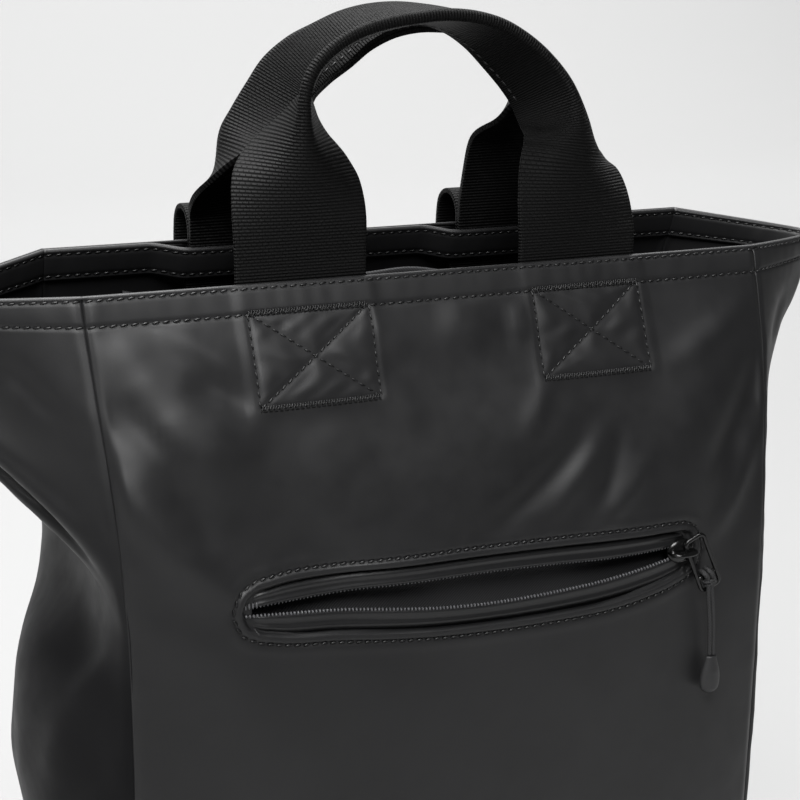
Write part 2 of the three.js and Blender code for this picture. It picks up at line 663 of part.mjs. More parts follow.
// The pocket behind the opening: a flat bag of lining whose front wall has the same opening.
function pocketLining() {
  const front = tapeDepth + COIL_THICKNESS + 2 * CLEARANCE;
  const half = ZIP_LENGTH / 2 + POUCH_MARGIN;
  const low = zipLine - POUCH_DEPTH;
  const high = zipLine + ZIP_HEIGHT * 0.4 + POUCH_MARGIN;
  const grid = (inside, distance) => [0, 0.3, 0.6, 0.8, 1].map((level) => (
    [-1, -0.8, -0.4, 0, 0.4, 0.8, 1].map((share) => onWall(
      "front",
      ZIP_OFFSET + share * (half - inside),
      mix(low + inside, high - inside, level),
      distance,
    ))));
  const back = front + POUCH_ROOM + 2 * LINING;
  const outer = toSolid(slab(grid(0, front), grid(0, back)));
  const room = toSolid(slab(grid(LINING, front + LINING), grid(LINING, back - LINING)));
  const within = front + LINING + POUCH_ROOM / 2;
  const mouth = toSolid(slab(zipGrid(MOUTH_MARGIN, 0), zipGrid(MOUTH_MARGIN, within)));
  return toGeometry(outer.subtract(room).subtract(mouth));
}

piece("zip_tape_upper", tape("top", "upper"), zipTape);
piece("zip_tape_lower", tape("bottom", "lower"), zipTape);
piece("pocket_lining", pocketLining(), liningCloth);

// Slider, puller and cord

const rowAt = ZIP[ZIP.length - 3];
const coilGap = zipZ((rowAt.upper + rowAt.lower) / 2);
const sliderX = zipX(1) - SLIDER_LENGTH / 2 - CLEARANCE;
const sliderY = onWall("front", sliderX, coilGap, tapeDepth + COIL_THICKNESS / 2).y;
const coilHalf = COIL_THICKNESS / 2 + 2 * CLEARANCE;

// A flat oval plate across x and z.
function oval(length, width, front, back) {
  const steps = 16;
  const outline = Array.from({ length: steps }, (_, i) => {
    const angle = (2 * Math.PI * i) / steps;
    return [(length / 2) * Math.cos(angle), (width / 2) * Math.sin(angle)];
  });
  return platePast(outline, front, back);
}

function slider() {
  const front = -coilHalf - SLIDER_PLATE;
  const archEnd = (end) => boxBetween(
    vector(end * (ARCH_LENGTH / 2) - ARCH_BAR / 2, front - ARCH_HEIGHT, -ARCH_WIDTH / 2),
    vector(end * (ARCH_LENGTH / 2) + ARCH_BAR / 2, front + SLIDER_PLATE / 2, ARCH_WIDTH / 2),
  );
  const archTop = boxBetween(
    vector(-ARCH_LENGTH / 2, front - ARCH_HEIGHT, -ARCH_WIDTH / 2),
    vector(ARCH_LENGTH / 2, front - ARCH_HEIGHT + ARCH_BAR, ARCH_WIDTH / 2),
  );
  const post = boxBetween(
    vector(-SLIDER_POST / 2, -coilHalf - SLIDER_PLATE / 2, -SLIDER_POST / 3),
    vector(SLIDER_POST / 2, coilHalf + SLIDER_PLATE / 2, SLIDER_POST / 3),
  );
  return joined(
    oval(SLIDER_LENGTH, SLIDER_WIDTH, front, -coilHalf),
    oval(SLIDER_LENGTH * 0.86, SLIDER_WIDTH * 0.8, coilHalf, coilHalf + SLIDER_PLATE * 0.7),
    post,
    archEnd(-1),
    archEnd(1),
    archTop,
  ).translate(sliderX, sliderY, coilGap);
}

// The puller is a frame that hangs by one upper corner: its rail on that side passes under the
// arch. It leans sideways, and outwards as far as the hitch on its crossbar needs to lie against
// the panel.
const pullerTurn = THREE.MathUtils.degToRad(PULLER_TURN);
const plumb = vector(Math.sin(pullerTurn), 0, -Math.cos(pullerTurn));
const pullerAcross = plumb.clone().cross(vector(0, 1, 0)).normalize();
const pullerTop = vector(
  sliderX,
  sliderY - coilHalf - SLIDER_PLATE - ARCH_HEIGHT / 2 + ARCH_BAR / 2,
  coilGap + ARCH_WIDTH / 2 + PULLER_BAR + CLEARANCE,
).addScaledVector(pullerAcross, (PULLER_WIDTH - PULLER_BAR) / 2);
const crossbarDrop = PULLER_LENGTH - PULLER_BAR - CROSSBAR_RISE;
const hitchHole = Math.hypot(PULLER_BAR, PULLER_THICKNESS) / 2 + SEAM_GAP;
const hitchReach = hitchHole + HITCH_WRAP;
const against = pullerTop.clone().addScaledVector(plumb, crossbarDrop);
against.y = onWall("front", against.x, against.z - hitchReach, -hitchReach - CLEARANCE).y;
const pullerDown = against.clone().sub(pullerTop).normalize();
const pullerFacing = pullerAcross.clone().cross(pullerDown);
const onPuller = (drop) => pullerTop.clone().addScaledVector(pullerDown, drop);

// Moves a shape made in the puller's own frame, where z is up from its upper bar, to a place on it.
function toPuller(geometry, drop) {
  const basis = new THREE.Matrix4().makeBasis(pullerAcross, pullerFacing, pullerDown.clone().negate());
  return geometry.applyMatrix4(basis.setPosition(onPuller(drop)));
}

function puller() {
  const half = PULLER_WIDTH / 2;
  const thick = PULLER_THICKNESS / 2;
  const bar = (drop) => boxBetween(
    vector(-half, -thick, -drop - PULLER_BAR / 2),
    vector(half, thick, -drop + PULLER_BAR / 2),
  );
  const rail = (end) => boxBetween(
    vector(end * (half - PULLER_BAR / 2) - PULLER_BAR / 2, -thick, -PULLER_LENGTH + PULLER_BAR / 2),
    vector(end * (half - PULLER_BAR / 2) + PULLER_BAR / 2, thick, PULLER_BAR / 2),
  );
  return toPuller(joined(bar(0), bar(crossbarDrop), bar(PULLER_LENGTH - PULLER_BAR), rail(-1), rail(1)), 0);
}

// The hitch is wound round the crossbar, clear of the bar and of the puller's rails.
function hitch() {
  const half = HITCH_WIDTH / 2;
  const profile = [
    [hitchHole, -half],
    [hitchReach, -half * 0.8],
    [hitchReach, half * 0.8],
    [hitchHole, half],
    [hitchHole, -half],
  ];
  const wound = new THREE.LatheGeometry(profile.map(([x, y]) => new THREE.Vector2(x, y)), 12);
  return toPuller(wound.rotateZ(Math.PI / 2), crossbarDrop);
}

// The cord leaves the underside of the hitch, passes in front of the puller's lower bar and hangs.
// Each stop has its share of CORD_HANG down, and how far it has drifted sideways in millimetres.
const CORD_ROUTE = [
  [0, 0], [0.07, 0.1], [0.14, 0.3], [0.21, 0.6], [0.28, 0.9], [0.36, 1.2], [0.44, 1.5], [0.52, 1.75],
  [0.6, 2], [0.68, 2.2], [0.76, 2.4], [0.84, 2.6], [0.92, 2.75], [1, 2.9],
];
const lowerBar = onPuller(PULLER_LENGTH - PULLER_BAR);
const cordStart = onPuller(crossbarDrop).add(vector(0.6, 0, -hitchReach - SEAM_GAP));
cordStart.y = lowerBar.y - PULLER_THICKNESS / 2 - CLEARANCE - CORD_THICKNESS / 2;
const cordPoints = CORD_ROUTE.map(([down, drift]) => (
  cordStart.clone().add(vector(drift, 0, -down * CORD_HANG))));

function pullCord() {
  const section = new THREE.Shape();
  section.absellipse(0, 0, CORD_THICKNESS / 2, CORD_WIDTH / 2, 0, Math.PI * 2);
  const extrudePath = new THREE.CatmullRomCurve3(cordPoints);
  const course = { steps: 16, curveSegments: 4, extrudePath, bevelEnabled: false };
  return new THREE.ExtrudeGeometry(section, course);
}

// Outline of the cord end: radius as a share of its width, and share of its length down.
const CORD_END_PROFILE = [
  [0, 0], [0.32, 0], [0.4, 0.04], [0.47, 0.3], [0.5, 0.6], [0.42, 0.84], [0.25, 0.97], [0, 1],
];

function cordEnd() {
  const end = cordPoints[cordPoints.length - 1];
  const points = CORD_END_PROFILE.map(([r, down]) => new THREE.Vector2(r, -down)).reverse();
  const moulded = new THREE.LatheGeometry(points, 14).rotateX(Math.PI / 2);
  moulded.scale(CORD_END_WIDTH, CORD_END_THICKNESS, CORD_END_LENGTH);
  return moulded.translate(end.x, end.y, end.z - SEAM_GAP);
}

piece("zip_slider", slider(), blackMetal);
piece("zip_puller", puller(), blackMetal);
piece("cord_hitch", hitch(), cordWeave);
piece("pull_cord", pullCord(), cordWeave);
piece("cord_end", cordEnd(), softPlastic);

// Inner sleeve, sewn to the back wall at its sides and foot and open at its waved upper edge
function innerSleeve() {
  const across = [-1, -0.85, -0.65, -0.4, -0.15, 0.1, 0.35, 0.6, 0.82, 1];
  const levels = [0, 0.25, 0.5, 0.7, 0.8, 0.86, 0.93, 1];
  const top = backRim - SLEEVE_BELOW_RIM;
  const webEnd = backRim - HANDLE_TAIL - CLEARANCE;
  const grid = (distance) => levels.map((level) => across.map((share) => {
    const wave = SLEEVE_DIP * Math.sin(Math.PI * (share * 1.3 + 0.2)) * (1 - share ** 4);
    const z = mix(top - SLEEVE_HEIGHT, top + wave, level);
    const gape = SLEEVE_GAPE * (1 - share ** 2) * smooth(level);
    const over = smooth((z - webEnd + SLEEVE_STEP) / SLEEVE_STEP);
    const seat = mix(layerDepth(0), layerDepth(2), over);
    return onWall("back", (share * SLEEVE_WIDTH) / 2, z, seat + distance + gape);
  }));
  return slab(grid(0), grid(SLEEVE_WALL));
}

piece("inner_sleeve", innerSleeve(), liningCloth);

export { bag as default };
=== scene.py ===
"""The looks of a convertible backpack: a tall tote in coated cloth with webbing carry handles,
shoulder straps on the back and an open zipped pocket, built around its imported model.
Sizes are in millimetres, turned into Blender's metres as each mesh is made. X runs to the right as
the front is seen, -Y is the front, +Z is up, and the origin is under the middle of the base."""
import math

import bmesh
import bpy
import numpy as np
from mathutils import Matrix, Vector


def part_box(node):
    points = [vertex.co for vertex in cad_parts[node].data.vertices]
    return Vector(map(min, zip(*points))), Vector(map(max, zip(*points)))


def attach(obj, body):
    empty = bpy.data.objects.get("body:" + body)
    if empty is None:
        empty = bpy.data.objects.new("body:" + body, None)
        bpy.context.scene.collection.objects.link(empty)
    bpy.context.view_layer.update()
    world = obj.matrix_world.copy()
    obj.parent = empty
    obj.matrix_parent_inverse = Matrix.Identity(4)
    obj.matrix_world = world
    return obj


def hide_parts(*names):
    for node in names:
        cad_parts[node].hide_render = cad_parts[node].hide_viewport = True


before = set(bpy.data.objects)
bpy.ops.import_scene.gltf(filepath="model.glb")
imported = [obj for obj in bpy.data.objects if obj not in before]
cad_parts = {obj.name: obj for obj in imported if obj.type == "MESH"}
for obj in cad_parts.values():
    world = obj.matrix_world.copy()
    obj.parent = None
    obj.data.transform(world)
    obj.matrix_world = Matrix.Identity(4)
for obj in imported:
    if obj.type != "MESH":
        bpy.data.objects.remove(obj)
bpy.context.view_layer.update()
MM = 0.001

# Body of the bag
BODY_HEIGHT = 400  # floor to the front rim
SEAM = 137  # half the width between the side seams of the front panel, at the rim
BODY_DEPTH = 120
BELLY = 10  # how far the middle of the front and back panels stands proud of their seams
FLARE = 50  # how far a gusset's ridge stands out past the seams at the rim
SWELL = 15  # how far a gusset rounds outwards low on the body
BACK_SPREAD = 6
FOLD_RISE = 30  # how much higher a gusset's cross fold is at its ridge than at its seams
BACK_RISE = 5.5  # how much higher the back rim is than the front rim
WALL = 1.4
SEAM_GAP = 0.3
CLEARANCE = 0.5
RIDGE_ROUND = 0.25  # roundness of a gusset's ridge, as a share of its half width
RIM_ROLL = 1.45  # radius of a panel's turned upper edge

# Rim and handles
HEM_HEIGHT = 12
FACING = 1.2
FACING_RAMP = 16  # how far the facing takes to step over the webbing
WEB_WIDTH = 50
WEB_THICKNESS = 2
HANDLE_SPACING = 113
HANDLE_HEIGHT = 93
HANDLE_SETBACK = 5
HANDLE_TAIL = 43
FOLD_ANGLE = 90.4  # degrees that each half turns where the grip is folded shut
FOLD_BEND = 2.1
WEB_EDGE = 0.45  # rounding of the webbing's edges
RIM_STITCHES = (2.0, 10.5)  # the two rows of stitches below the rim
PATCH_WIDTH = 46
PATCH_HEIGHT = 31.5
PATCH_BELOW_RIM = 9.9

# Zipped pocket
ZIP_LENGTH = 187
ZIP_HEIGHT = 26
ZIP_LINE = BODY_HEIGHT - 112  # height of the closed zip
ZIP_OFFSET = 1.5
TAPE_THICKNESS = 0.8
TAPE_HIDDEN = 6
TOOTH_PITCH = 1.4
BEAD_GROUP = 30  # beads made at a time, because an operator slows down as a mesh grows
STRIP_WIDTH = 3.8  # from the edge of the opening to the stitches round it
POCKET_DEPTH = 120  # from the closed zip down to the foot of the lining
POCKET_TOP = 18  # how far the lining's upper edge lies above the closed zip
POCKET_MARGIN = 12  # how far the lining reaches past each end of the zip
POCKET_SEAM_DEPTH = 6.5
LINING_WALL = 0.5

# Slider, puller and cord
SLIDER_AT = (88.25, -61.44, 287.48)
PULLER_TOP = (92.27, -66.49, 292.97)
PULLER_DOWN = (0.407, -0.012, -0.913)
PULLER_ACROSS = (0.914, 0.0, 0.407)
PULLER_LENGTH = 25
PULLER_WIDTH = 10.4
PULLER_BAR = 1.6
PULLER_CORNER = 2
CROSSBAR_DROP = 17.4
CORD_START = (99.95, -68.87, 273.78)
CORD_WIDTH = 3.3
CORD_THICKNESS = 1.7
CORD_HANG = 31
CORD_END_LENGTH = 16
CORD_END_WIDTH = 10
CORD_END_THICKNESS = 5

# The pull cord's route: share of its length down, and millimetres of drift to the right
CORD_ROUTE = [
    (0, 0), (0.07, 0.1), (0.14, 0.3), (0.21, 0.6), (0.28, 0.9), (0.36, 1.2), (0.44, 1.5),
    (0.52, 1.75), (0.6, 2), (0.68, 2.2), (0.76, 2.4), (0.84, 2.6), (0.92, 2.75), (1, 2.9),
]

# Shoulder straps and inner sleeve
STRAP_LOOP_HEIGHT = 12
STRAP_LOOP_DEPTH = 18
STRAP_FOOT = 92
STRAP_FOOT_HEIGHT = 28
STRAP_SLACK = 16  # how far the webbing hangs off the back
SLIDE_BAR = 3.4
SLIDE_PITCH = 10
SLIDE_RAIL = 4
SLEEVE_WIDTH = 214
SLEEVE_HEIGHT = 270
SLEEVE_BELOW_RIM = 16
SLEEVE_DIP = 7  # wave of the sleeve's upper edge
SLEEVE_GAPE = 9  # how far that edge stands off the back
SLEEVE_STEP = 30  # how far below the webbing the sleeve starts to pass round it
SLEEVE_WALL = 1.2


def table(names, rows):
    """Rows of numbers as named columns."""
    return dict(zip(names.split(), np.array(rows, float).T))


# Level sections of the body from the floor up, as shares of the sizes above
SECTIONS = table("height width depth belly left right swell rise lift", [
    (0.0, 0.925, 0.86, 0.45, 0, 0, 0.2, 0, 0),
    (0.017, 0.95, 0.945, 0.6, 0, 0, 0.45, 0, 0),
    (0.06, 0.963, 0.985, 0.72, 0, 0, 0.8, 0, 0),
    (0.22, 0.967, 1.0, 0.9, 0, 0, 0.8, 0, 0),
    (0.4, 0.965, 1.008, 0.95, 0.06, 0, 0.9, 0, 0),
    (0.54, 0.963, 1.008, 0.9, 0.2, 0, 0.95, 0.08, 0),
    (0.63, 0.962, 1.0, 0.9, 0.12, 0, 0.8, 0.25, 0.05),
    (0.68, 0.963, 0.99, 0.88, -0.16, 0, 0.62, 0.5, 0.1),
    (0.72, 0.965, 0.975, 0.86, -0.02, 0.1, 0.4, 0.82, 0.2),
    (0.745, 0.968, 0.958, 0.85, 0.5, 0.2, 0.22, 1, 0.3),
    (0.787, 0.972, 0.917, 0.8, 0.68, 0.32, 0.1, 0.8, 0.4),
    (0.837, 0.98, 0.85, 0.7, 0.76, 0.54, 0, 0.5, 0.55),
    (0.88, 0.987, 0.775, 0.55, 0.83, 0.71, 0, 0.25, 0.7),
    (0.915, 0.993, 0.7, 0.4, 0.89, 0.82, 0, 0.08, 0.8),
    (0.95, 0.997, 0.617, 0.25, 0.95, 0.91, 0, -0.06, 0.9),
    (0.97, 0.999, 0.567, 0.15, 0.98, 0.95, 0, -0.12, 0.95),
    (1.0, 1.0, 0.5, 0, 1, 1, 0, -0.2, 1),
])

# Dents and ridges pressed into the front panel: place as shares of SEAM and BODY_HEIGHT, reach
# as shares of the panel's width, degrees from level, and push outwards as a share of BELLY
DENTS = [
    (-0.72, 0.87, 0.16, 0.05, -52, 0.35),
    (-0.56, 0.8, 0.2, 0.06, -50, -0.5),
    (-0.82, 0.73, 0.17, 0.055, -58, 0.3),
    (0.02, 0.9, 0.2, 0.075, 8, -0.25),
    (0.74, 0.86, 0.16, 0.06, 62, 0.3),
    (0.88, 0.76, 0.16, 0.06, 66, -0.35),
]

# Courses of the handles' grips, in the order of the front one's left end to its right end; the
# back one runs the other way. Places are shares of half HANDLE_SPACING, of HANDLE_HEIGHT and of
# HANDLE_SETBACK, then how far the webbing is folded shut and the swing of its open edges
GRIPS = {
    "front": table("out up back fold turn", [
        (-1.0, 0.09, 0, 0, 0),
        (-1.0, 0.22, 0, 0.05, 2),
        (-0.995, 0.35, 0.05, 0.26, 3),
        (-0.985, 0.44, 0.1, 0.51, 7),
        (-0.98, 0.52, 0.15, 0.73, 11),
        (-0.975, 0.6, 0.2, 0.89, 17),
        (-0.965, 0.69, 0.25, 1, 22),
        (-0.915, 0.775, 0.3, 1, 23),
        (-0.8, 0.85, 0.35, 1, 21),
        (-0.63, 0.912, 0.4, 1, 17),
        (-0.43, 0.95, 0.4, 1, 13),
        (-0.21, 0.97, 0.4, 1, 9),
        (0.0, 0.98, 0.4, 1, 8),
        (0.21, 0.972, 0.45, 1, 14),
        (0.41, 0.943, 0.55, 1, 24),
        (0.59, 0.89, 0.65, 1, 34),
        (0.765, 0.815, 0.8, 1, 42),
        (0.92, 0.72, 0.9, 0.97, 47),
        (1.02, 0.625, 1, 0.82, 44),
        (1.07, 0.53, 0.9, 0.62, 32),
        (1.06, 0.44, 0.6, 0.45, 18),
        (1.02, 0.35, 0.3, 0.3, 9),
        (1.0, 0.22, 0.1, 0.12, 3),
        (1.0, 0.09, 0, 0, 0),
    ]),
    "back": table("out up back fold turn", [
        (-1.0, 0.09, 0, 0, 0),
        (-1.02, 0.22, 0, 0.05, 0),
        (-1.03, 0.35, 0.05, 0.16, 0),
        (-1.03, 0.44, 0.1, 0.42, 0),
        (-1.01, 0.52, 0.15, 0.65, 2),
        (-0.99, 0.6, 0.2, 0.84, 6),
        (-0.955, 0.67, 0.25, 1, 10),
        (-0.89, 0.745, 0.3, 1, 12),
        (-0.78, 0.81, 0.35, 1, 12),
        (-0.62, 0.86, 0.4, 1, 12),
        (-0.42, 0.89, 0.4, 1, 12),
        (-0.21, 0.91, 0.4, 1, 13),
        (0.0, 0.92, 0.4, 1, 15),
        (0.21, 0.912, 0.45, 1, 19),
        (0.41, 0.885, 0.55, 1, 26),
        (0.59, 0.842, 0.65, 1, 36),
        (0.765, 0.795, 0.8, 1, 44),
        (0.93, 0.72, 0.9, 1, 50),
        (1.05, 0.625, 1, 0.93, 58),
        (1.15, 0.53, 0.9, 0.78, 62),
        (1.22, 0.44, 0.6, 0.62, 54),
        (1.2, 0.35, 0.3, 0.46, 40),
        (1.09, 0.22, 0.1, 0.22, 18),
        (1.0, 0.09, 0, 0, 0),
    ]),
}
FIRST_FOLDED = 6  # the places in GRIPS between which the webbing is folded shut
LAST_FOLDED = 17
ROWS_PER_PLACE = 7

# The zip from its left end to its right end, in shares of half ZIP_LENGTH and of ZIP_HEIGHT
ZIP = table("along top bottom upper lower", [
    (-1.0, 0.09, 0.06, 0.12, 0.04),
    (-0.985, 0.22, -0.08, 0.125, 0.03),
    (-0.95, 0.32, -0.18, 0.13, 0.02),
    (-0.88, 0.37, -0.26, 0.14, 0.0),
    (-0.64, 0.4, -0.37, 0.15, -0.08),
    (-0.4, 0.41, -0.49, 0.155, -0.19),
    (0.0, 0.4, -0.58, 0.155, -0.31),
    (0.33, 0.37, -0.6, 0.11, -0.305),
    (0.57, 0.33, -0.575, 0.06, -0.26),
    (0.75, 0.31, -0.5, 0.055, -0.185),
    (0.88, 0.3, -0.41, 0.06, -0.12),
    (0.95, 0.26, -0.32, 0.06, -0.1),
    (0.985, 0.16, -0.21, 0.06, -0.1),
    (1.0, 0.0, -0.03, 0.06, -0.1),
])

# Camera, at the photograph's angle
CAMERA_AT = (-270.95, -587.07, 530.64)
CAMERA_YAW = 24.42
CAMERA_PITCH = 16.38
CAMERA_ROLL = -1.0
CAMERA_LENS = 76.8


def make_camera():
    """The photograph's camera: turned by its yaw, then pitched down, then rolled."""
    yaw, pitch, roll = (math.radians(a) for a in (CAMERA_YAW, CAMERA_PITCH, CAMERA_ROLL))
    forward = Vector((
        math.sin(yaw) * math.cos(pitch),
        math.cos(yaw) * math.cos(pitch),
        -math.sin(pitch),
    ))
    level = Vector((math.cos(yaw), -math.sin(yaw), 0))
    below = forward.cross(level)
    right = level * math.cos(roll) + below * math.sin(roll)
    down = below * math.cos(roll) - level * math.sin(roll)
    camera = bpy.data.objects.new("camera", bpy.data.cameras.new("camera"))
    camera.data.lens = CAMERA_LENS
    camera.data.clip_start = 0.01
    camera.matrix_world = Matrix.Translation(Vector(CAMERA_AT) * MM) @ Matrix(
        (right, -down, -forward)).transposed().to_4x4()
    bpy.context.scene.collection.objects.link(camera)
    bpy.context.scene.camera = camera


make_camera()


# Curves and spacing

def through(x, xs, ys):
    """A smooth curve through the points xs, ys, read at x."""
    slope = np.gradient(ys, xs, axis=0)
    x = np.clip(x, xs[0], xs[-1])
    i = np.clip(np.searchsorted(xs, x, "right") - 1, 0, len(xs) - 2)
    step = xs[i + 1] - xs[i]
    t = (x - xs[i]) / step
    if np.ndim(ys) > 1:
        step, t = step[..., None], t[..., None]
    return (
        (2 * t**3 - 3 * t**2 + 1) * ys[i]
        + (t**3 - 2 * t**2 + t) * step * slope[i]
        + (3 * t**2 - 2 * t**3) * ys[i + 1]
        + (t**3 - t**2) * step * slope[i + 1]
    )


def ease(share):
    """A share from 0 to 1 that starts and ends level."""
    t = np.clip(share, 0, 1)
    return t * t * (3 - 2 * t)


def mix(a, b, share):
    """A value at a share of the way from a to b."""
    return a + (b - a) * share


def hill(distance, reach):
    """A bell of height 1 that falls off over reach."""
    return np.exp(-((distance / reach) ** 2))


def unit(vectors):
    return vectors / np.linalg.norm(vectors, axis=-1, keepdims=True)


def stops(*spans):
    """Grid lines through spans, each given as its two ends and the step between its lines."""
    lines = [spans[0][0]]
    for low, high, step in spans:
        count = max(1, round(abs(high - low) / step))
        lines.extend(low + (high - low) * (i + 1) / count for i in range(count))
    return np.array(lines, float)


def lengths(points):
    """Distance along a line of points, from its start."""
    return np.concatenate([[0], np.cumsum(np.linalg.norm(np.diff(points, axis=0), axis=1))])


def along_line(points, distances):
    """Points of a line at distances from its start."""
    run = lengths(points)
    return np.stack([np.interp(distances, run, points[:, k]) for k in range(points.shape[1])], -1)


# Shape of the body

def ridge(u):
    """Height of a gusset's ridge above its seams, 0 at a seam and 1 in the middle."""
    edge = math.hypot(1, RIDGE_ROUND)
    return (edge - np.hypot(u, RIDGE_ROUND)) / (edge - RIDGE_ROUND)


def pushed(rows, x, z):
    """How far dents or folds push the cloth outwards at x and z, in shares of BELLY."""
    push = np.zeros(np.shape(x))
    for across, up, long, wide, turn, out in rows:
        angle = math.radians(turn)
        dx = x - across * SEAM
        dz = z - up * BODY_HEIGHT
        along = (dx * math.cos(angle) + dz * math.sin(angle)) / (long * 2 * SEAM)
        over = (dz * math.cos(angle) - dx * math.sin(angle)) / (wide * 2 * SEAM)
        push += out * np.exp(-(along**2) - over**2)
    return push


def body(face, u, h):
    """The outer surface at a stop u across a face and at a share h of the height."""
    read = {name: through(h, SECTIONS["height"], values) for name, values in SECTIONS.items()}
    width = read["width"] * SEAM
    depth = read["depth"] * BODY_DEPTH / 2
    height = np.maximum(h * BODY_HEIGHT, WALL + SEAM_GAP)
    lift = read["lift"] * BACK_RISE
    spread = read["swell"] * BACK_SPREAD
    belly = read["belly"] * BELLY * (1 - np.abs(u) ** 3)
    if face == "front":
        fade = (1 - u**6) * ease((1 - h) * 12)
        push = pushed(DENTS, width * u, height) * BELLY * fade
        return np.stack([width * u, -depth - belly - push, height], -1)
    if face == "back":
        return np.stack([-(width + spread) * u, depth + belly, height + lift], -1)
    side = 1 if face == "right_gusset" else -1
    flare = read["right" if side > 0 else "left"] * FLARE
    back = (1 + side * u) / 2
    x = width + spread * back + flare * ridge(u) + read["swell"] * SWELL * (1 - u**4)
    z = height + read["rise"] * FOLD_RISE * ridge(u) + lift * back
    return np.stack([side * x, side * depth * u, z], -1)


def skin(face, u, h):
    """Points on a face, with the directions out of the bag and up the face there."""
    step = 1e-3
    u, h = np.broadcast_arrays(np.asarray(u, float), np.asarray(h, float))
    inner = np.clip(h, 0.01, 1)
    right = body(face, u + step, inner) - body(face, u - step, inner)
    up = body(face, u, np.minimum(inner + step, 1)) - body(face, u, inner - step)
    return body(face, u, h), unit(np.cross(right, up)), unit(up)


def wall_point(face, x, z, depth):
    """A point at x and height z on the front or back wall, at a depth into the bag."""
    x, z, depth = np.broadcast_arrays(np.asarray(x, float), z, depth)
    side = 1 if face == "front" else -1
    h = z / BODY_HEIGHT
    for _ in range(2):
        if face == "back":
            h = (z - through(h, SECTIONS["height"], SECTIONS["lift"]) * BACK_RISE) / BODY_HEIGHT
        half = through(h, SECTIONS["height"], SECTIONS["width"]) * SEAM
        if face == "back":
            half = half + through(h, SECTIONS["height"], SECTIONS["swell"]) * BACK_SPREAD
    here, out, _ = skin(face, side * x / half, h)
    return here - out * depth[..., None]


def layer_depth(layers):
    return WALL + CLEARANCE + layers * (WEB_THICKNESS + CLEARANCE)


# Zip outline

def zip_z(name, x):
    """Height of an edge of the zip at x, named as in ZIP."""
    along = (np.asarray(x, float) - ZIP_OFFSET) / (ZIP_LENGTH / 2)
    return ZIP_LINE + through(along, ZIP["along"], ZIP[name]) * ZIP_HEIGHT


ZIP_LEFT = ZIP_OFFSET - ZIP_LENGTH / 2
ZIP_RIGHT = ZIP_OFFSET + ZIP_LENGTH / 2
OPENING_X = stops((ZIP_LEFT, ZIP_LEFT + 10, 0.25), (ZIP_LEFT + 10, ZIP_RIGHT - 10, 2),
                  (ZIP_RIGHT - 10, ZIP_RIGHT, 0.25))
OPENING = np.concatenate([
    np.stack([OPENING_X, zip_z("bottom", OPENING_X)], -1),
    np.stack([OPENING_X, zip_z("top", OPENING_X)], -1)[::-1],
])


def from_opening(x, z):
    """Distance from the edge of the zip's opening, below zero within it."""
    start = OPENING
    run = np.roll(OPENING, -1, axis=0) - start
    place = np.stack([x, z], -1)
    distance = np.full(len(x), 99.0)
    near = (np.abs(x - ZIP_OFFSET) < ZIP_LENGTH / 2 + 20) & (np.abs(z - ZIP_LINE) < 40)
    gap = place[near][:, None] - start
    share = np.clip((gap * run).sum(-1) / (run**2).sum(-1), 0, 1)
    distance[near] = np.linalg.norm(gap - share[..., None] * run, axis=-1).min(1)
    inside = (x > ZIP_LEFT) & (x < ZIP_RIGHT) & (z < zip_z("top", x)) & (z > zip_z("bottom", x))
    return np.where(inside, -distance, distance)


# Relief of the panels

# Folds of the front panel's cloth, as lines across and up in millimetres: both ends, how far the
# middle of the line is bowed to its left, how wide the fold is and how far it stands out
FRONT_FOLDS = [
    (-132, 360, -84, 332, 0, 19, 4.0),
    (-119, 390, -79, 364, 3, 5.5, 1.7),
    (-108, 370, -80, 356, 2, 6, -1.6),
    (-128, 390, -115, 360, 0, 8, 1.3),
    (-136, 369, -100, 312, 5, 6, -2.4),
    (-138, 352, -90, 292, -5, 6.5, 3.2),
    (-133, 303, -92, 280, 0, 7, -0.9),
    (-36, 388, -20, 370, 0, 5, 0.9),
    (-33, 363, -16, 347, 0, 5, 0.8),
    (-8, 384, 16, 377, 0, 10, 1.1),
    (20, 387, 20, 366, 0, 2.2, -0.6),
    (26, 388, 28, 372, 0, 3, 0.7),
    (37, 360, 20, 337, 0, 4, 1.0),
    (58, 347, -3, 305, 3, 5, -1.8),
    (57, 341, 24, 305, 2, 4.5, 1.0),
    (64, 343, 49, 309, 2, 4, -1.1),
    (78, 333, 44, 299, 3, 5, 1.3),
    (80, 357, 131, 381, -2, 5.5, 1.3),
    (136, 368, 100, 314, 5, 6.5, -2.3),
    (127, 334, 103, 286, 3, 5, 2.0),
    (-60, 352, -52, 330, 0, 12, 0.7),
]

# Folds of a gusset's cloth, likewise: across from its middle towards the front, and up
GUSSET_FOLDS = [
    (59, 305, -6, 331, -2, 7, 2.2),
    (60, 293, -10, 318, -2, 7, -4.5),
    (52, 280, -30, 230, 6, 7, -1.6),
    (56, 300, 10, 200, 5, 8, 1.8),
    (57, 262, 18, 175, 4, 7, -1.5),
    (50, 190, 8, 110, 4, 9, 1.4),
    (-20, 230, -50, 150, -4, 9, 1.5),
    (30, 380, 48, 352, 0, 6, -1.2),
    (8, 386, 20, 356, 0, 7, 1.0),
]


def folded(rows, x, z):
    """How far folds along bowed lines push the cloth outwards at x and z, in millimetres."""
    push = np.zeros(np.shape(x))
    for x0, z0, x1, z1, bow, wide, out in rows:
        long = math.hypot(x1 - x0, z1 - z0)
        way_x, way_z = (x1 - x0) / long, (z1 - z0) / long
        along = (x - x0) * way_x + (z - z0) * way_z
        share = along / long
        bend = bow * (1 - (2 * share - 1) ** 2)
        over = (z - z0) * way_x - (x - x0) * way_z - bend
        taper = ease(share / 0.45 + 0.1) * ease((1 - share) / 0.45 + 0.1)
        push += out * hill(over, wide) * taper
    return push


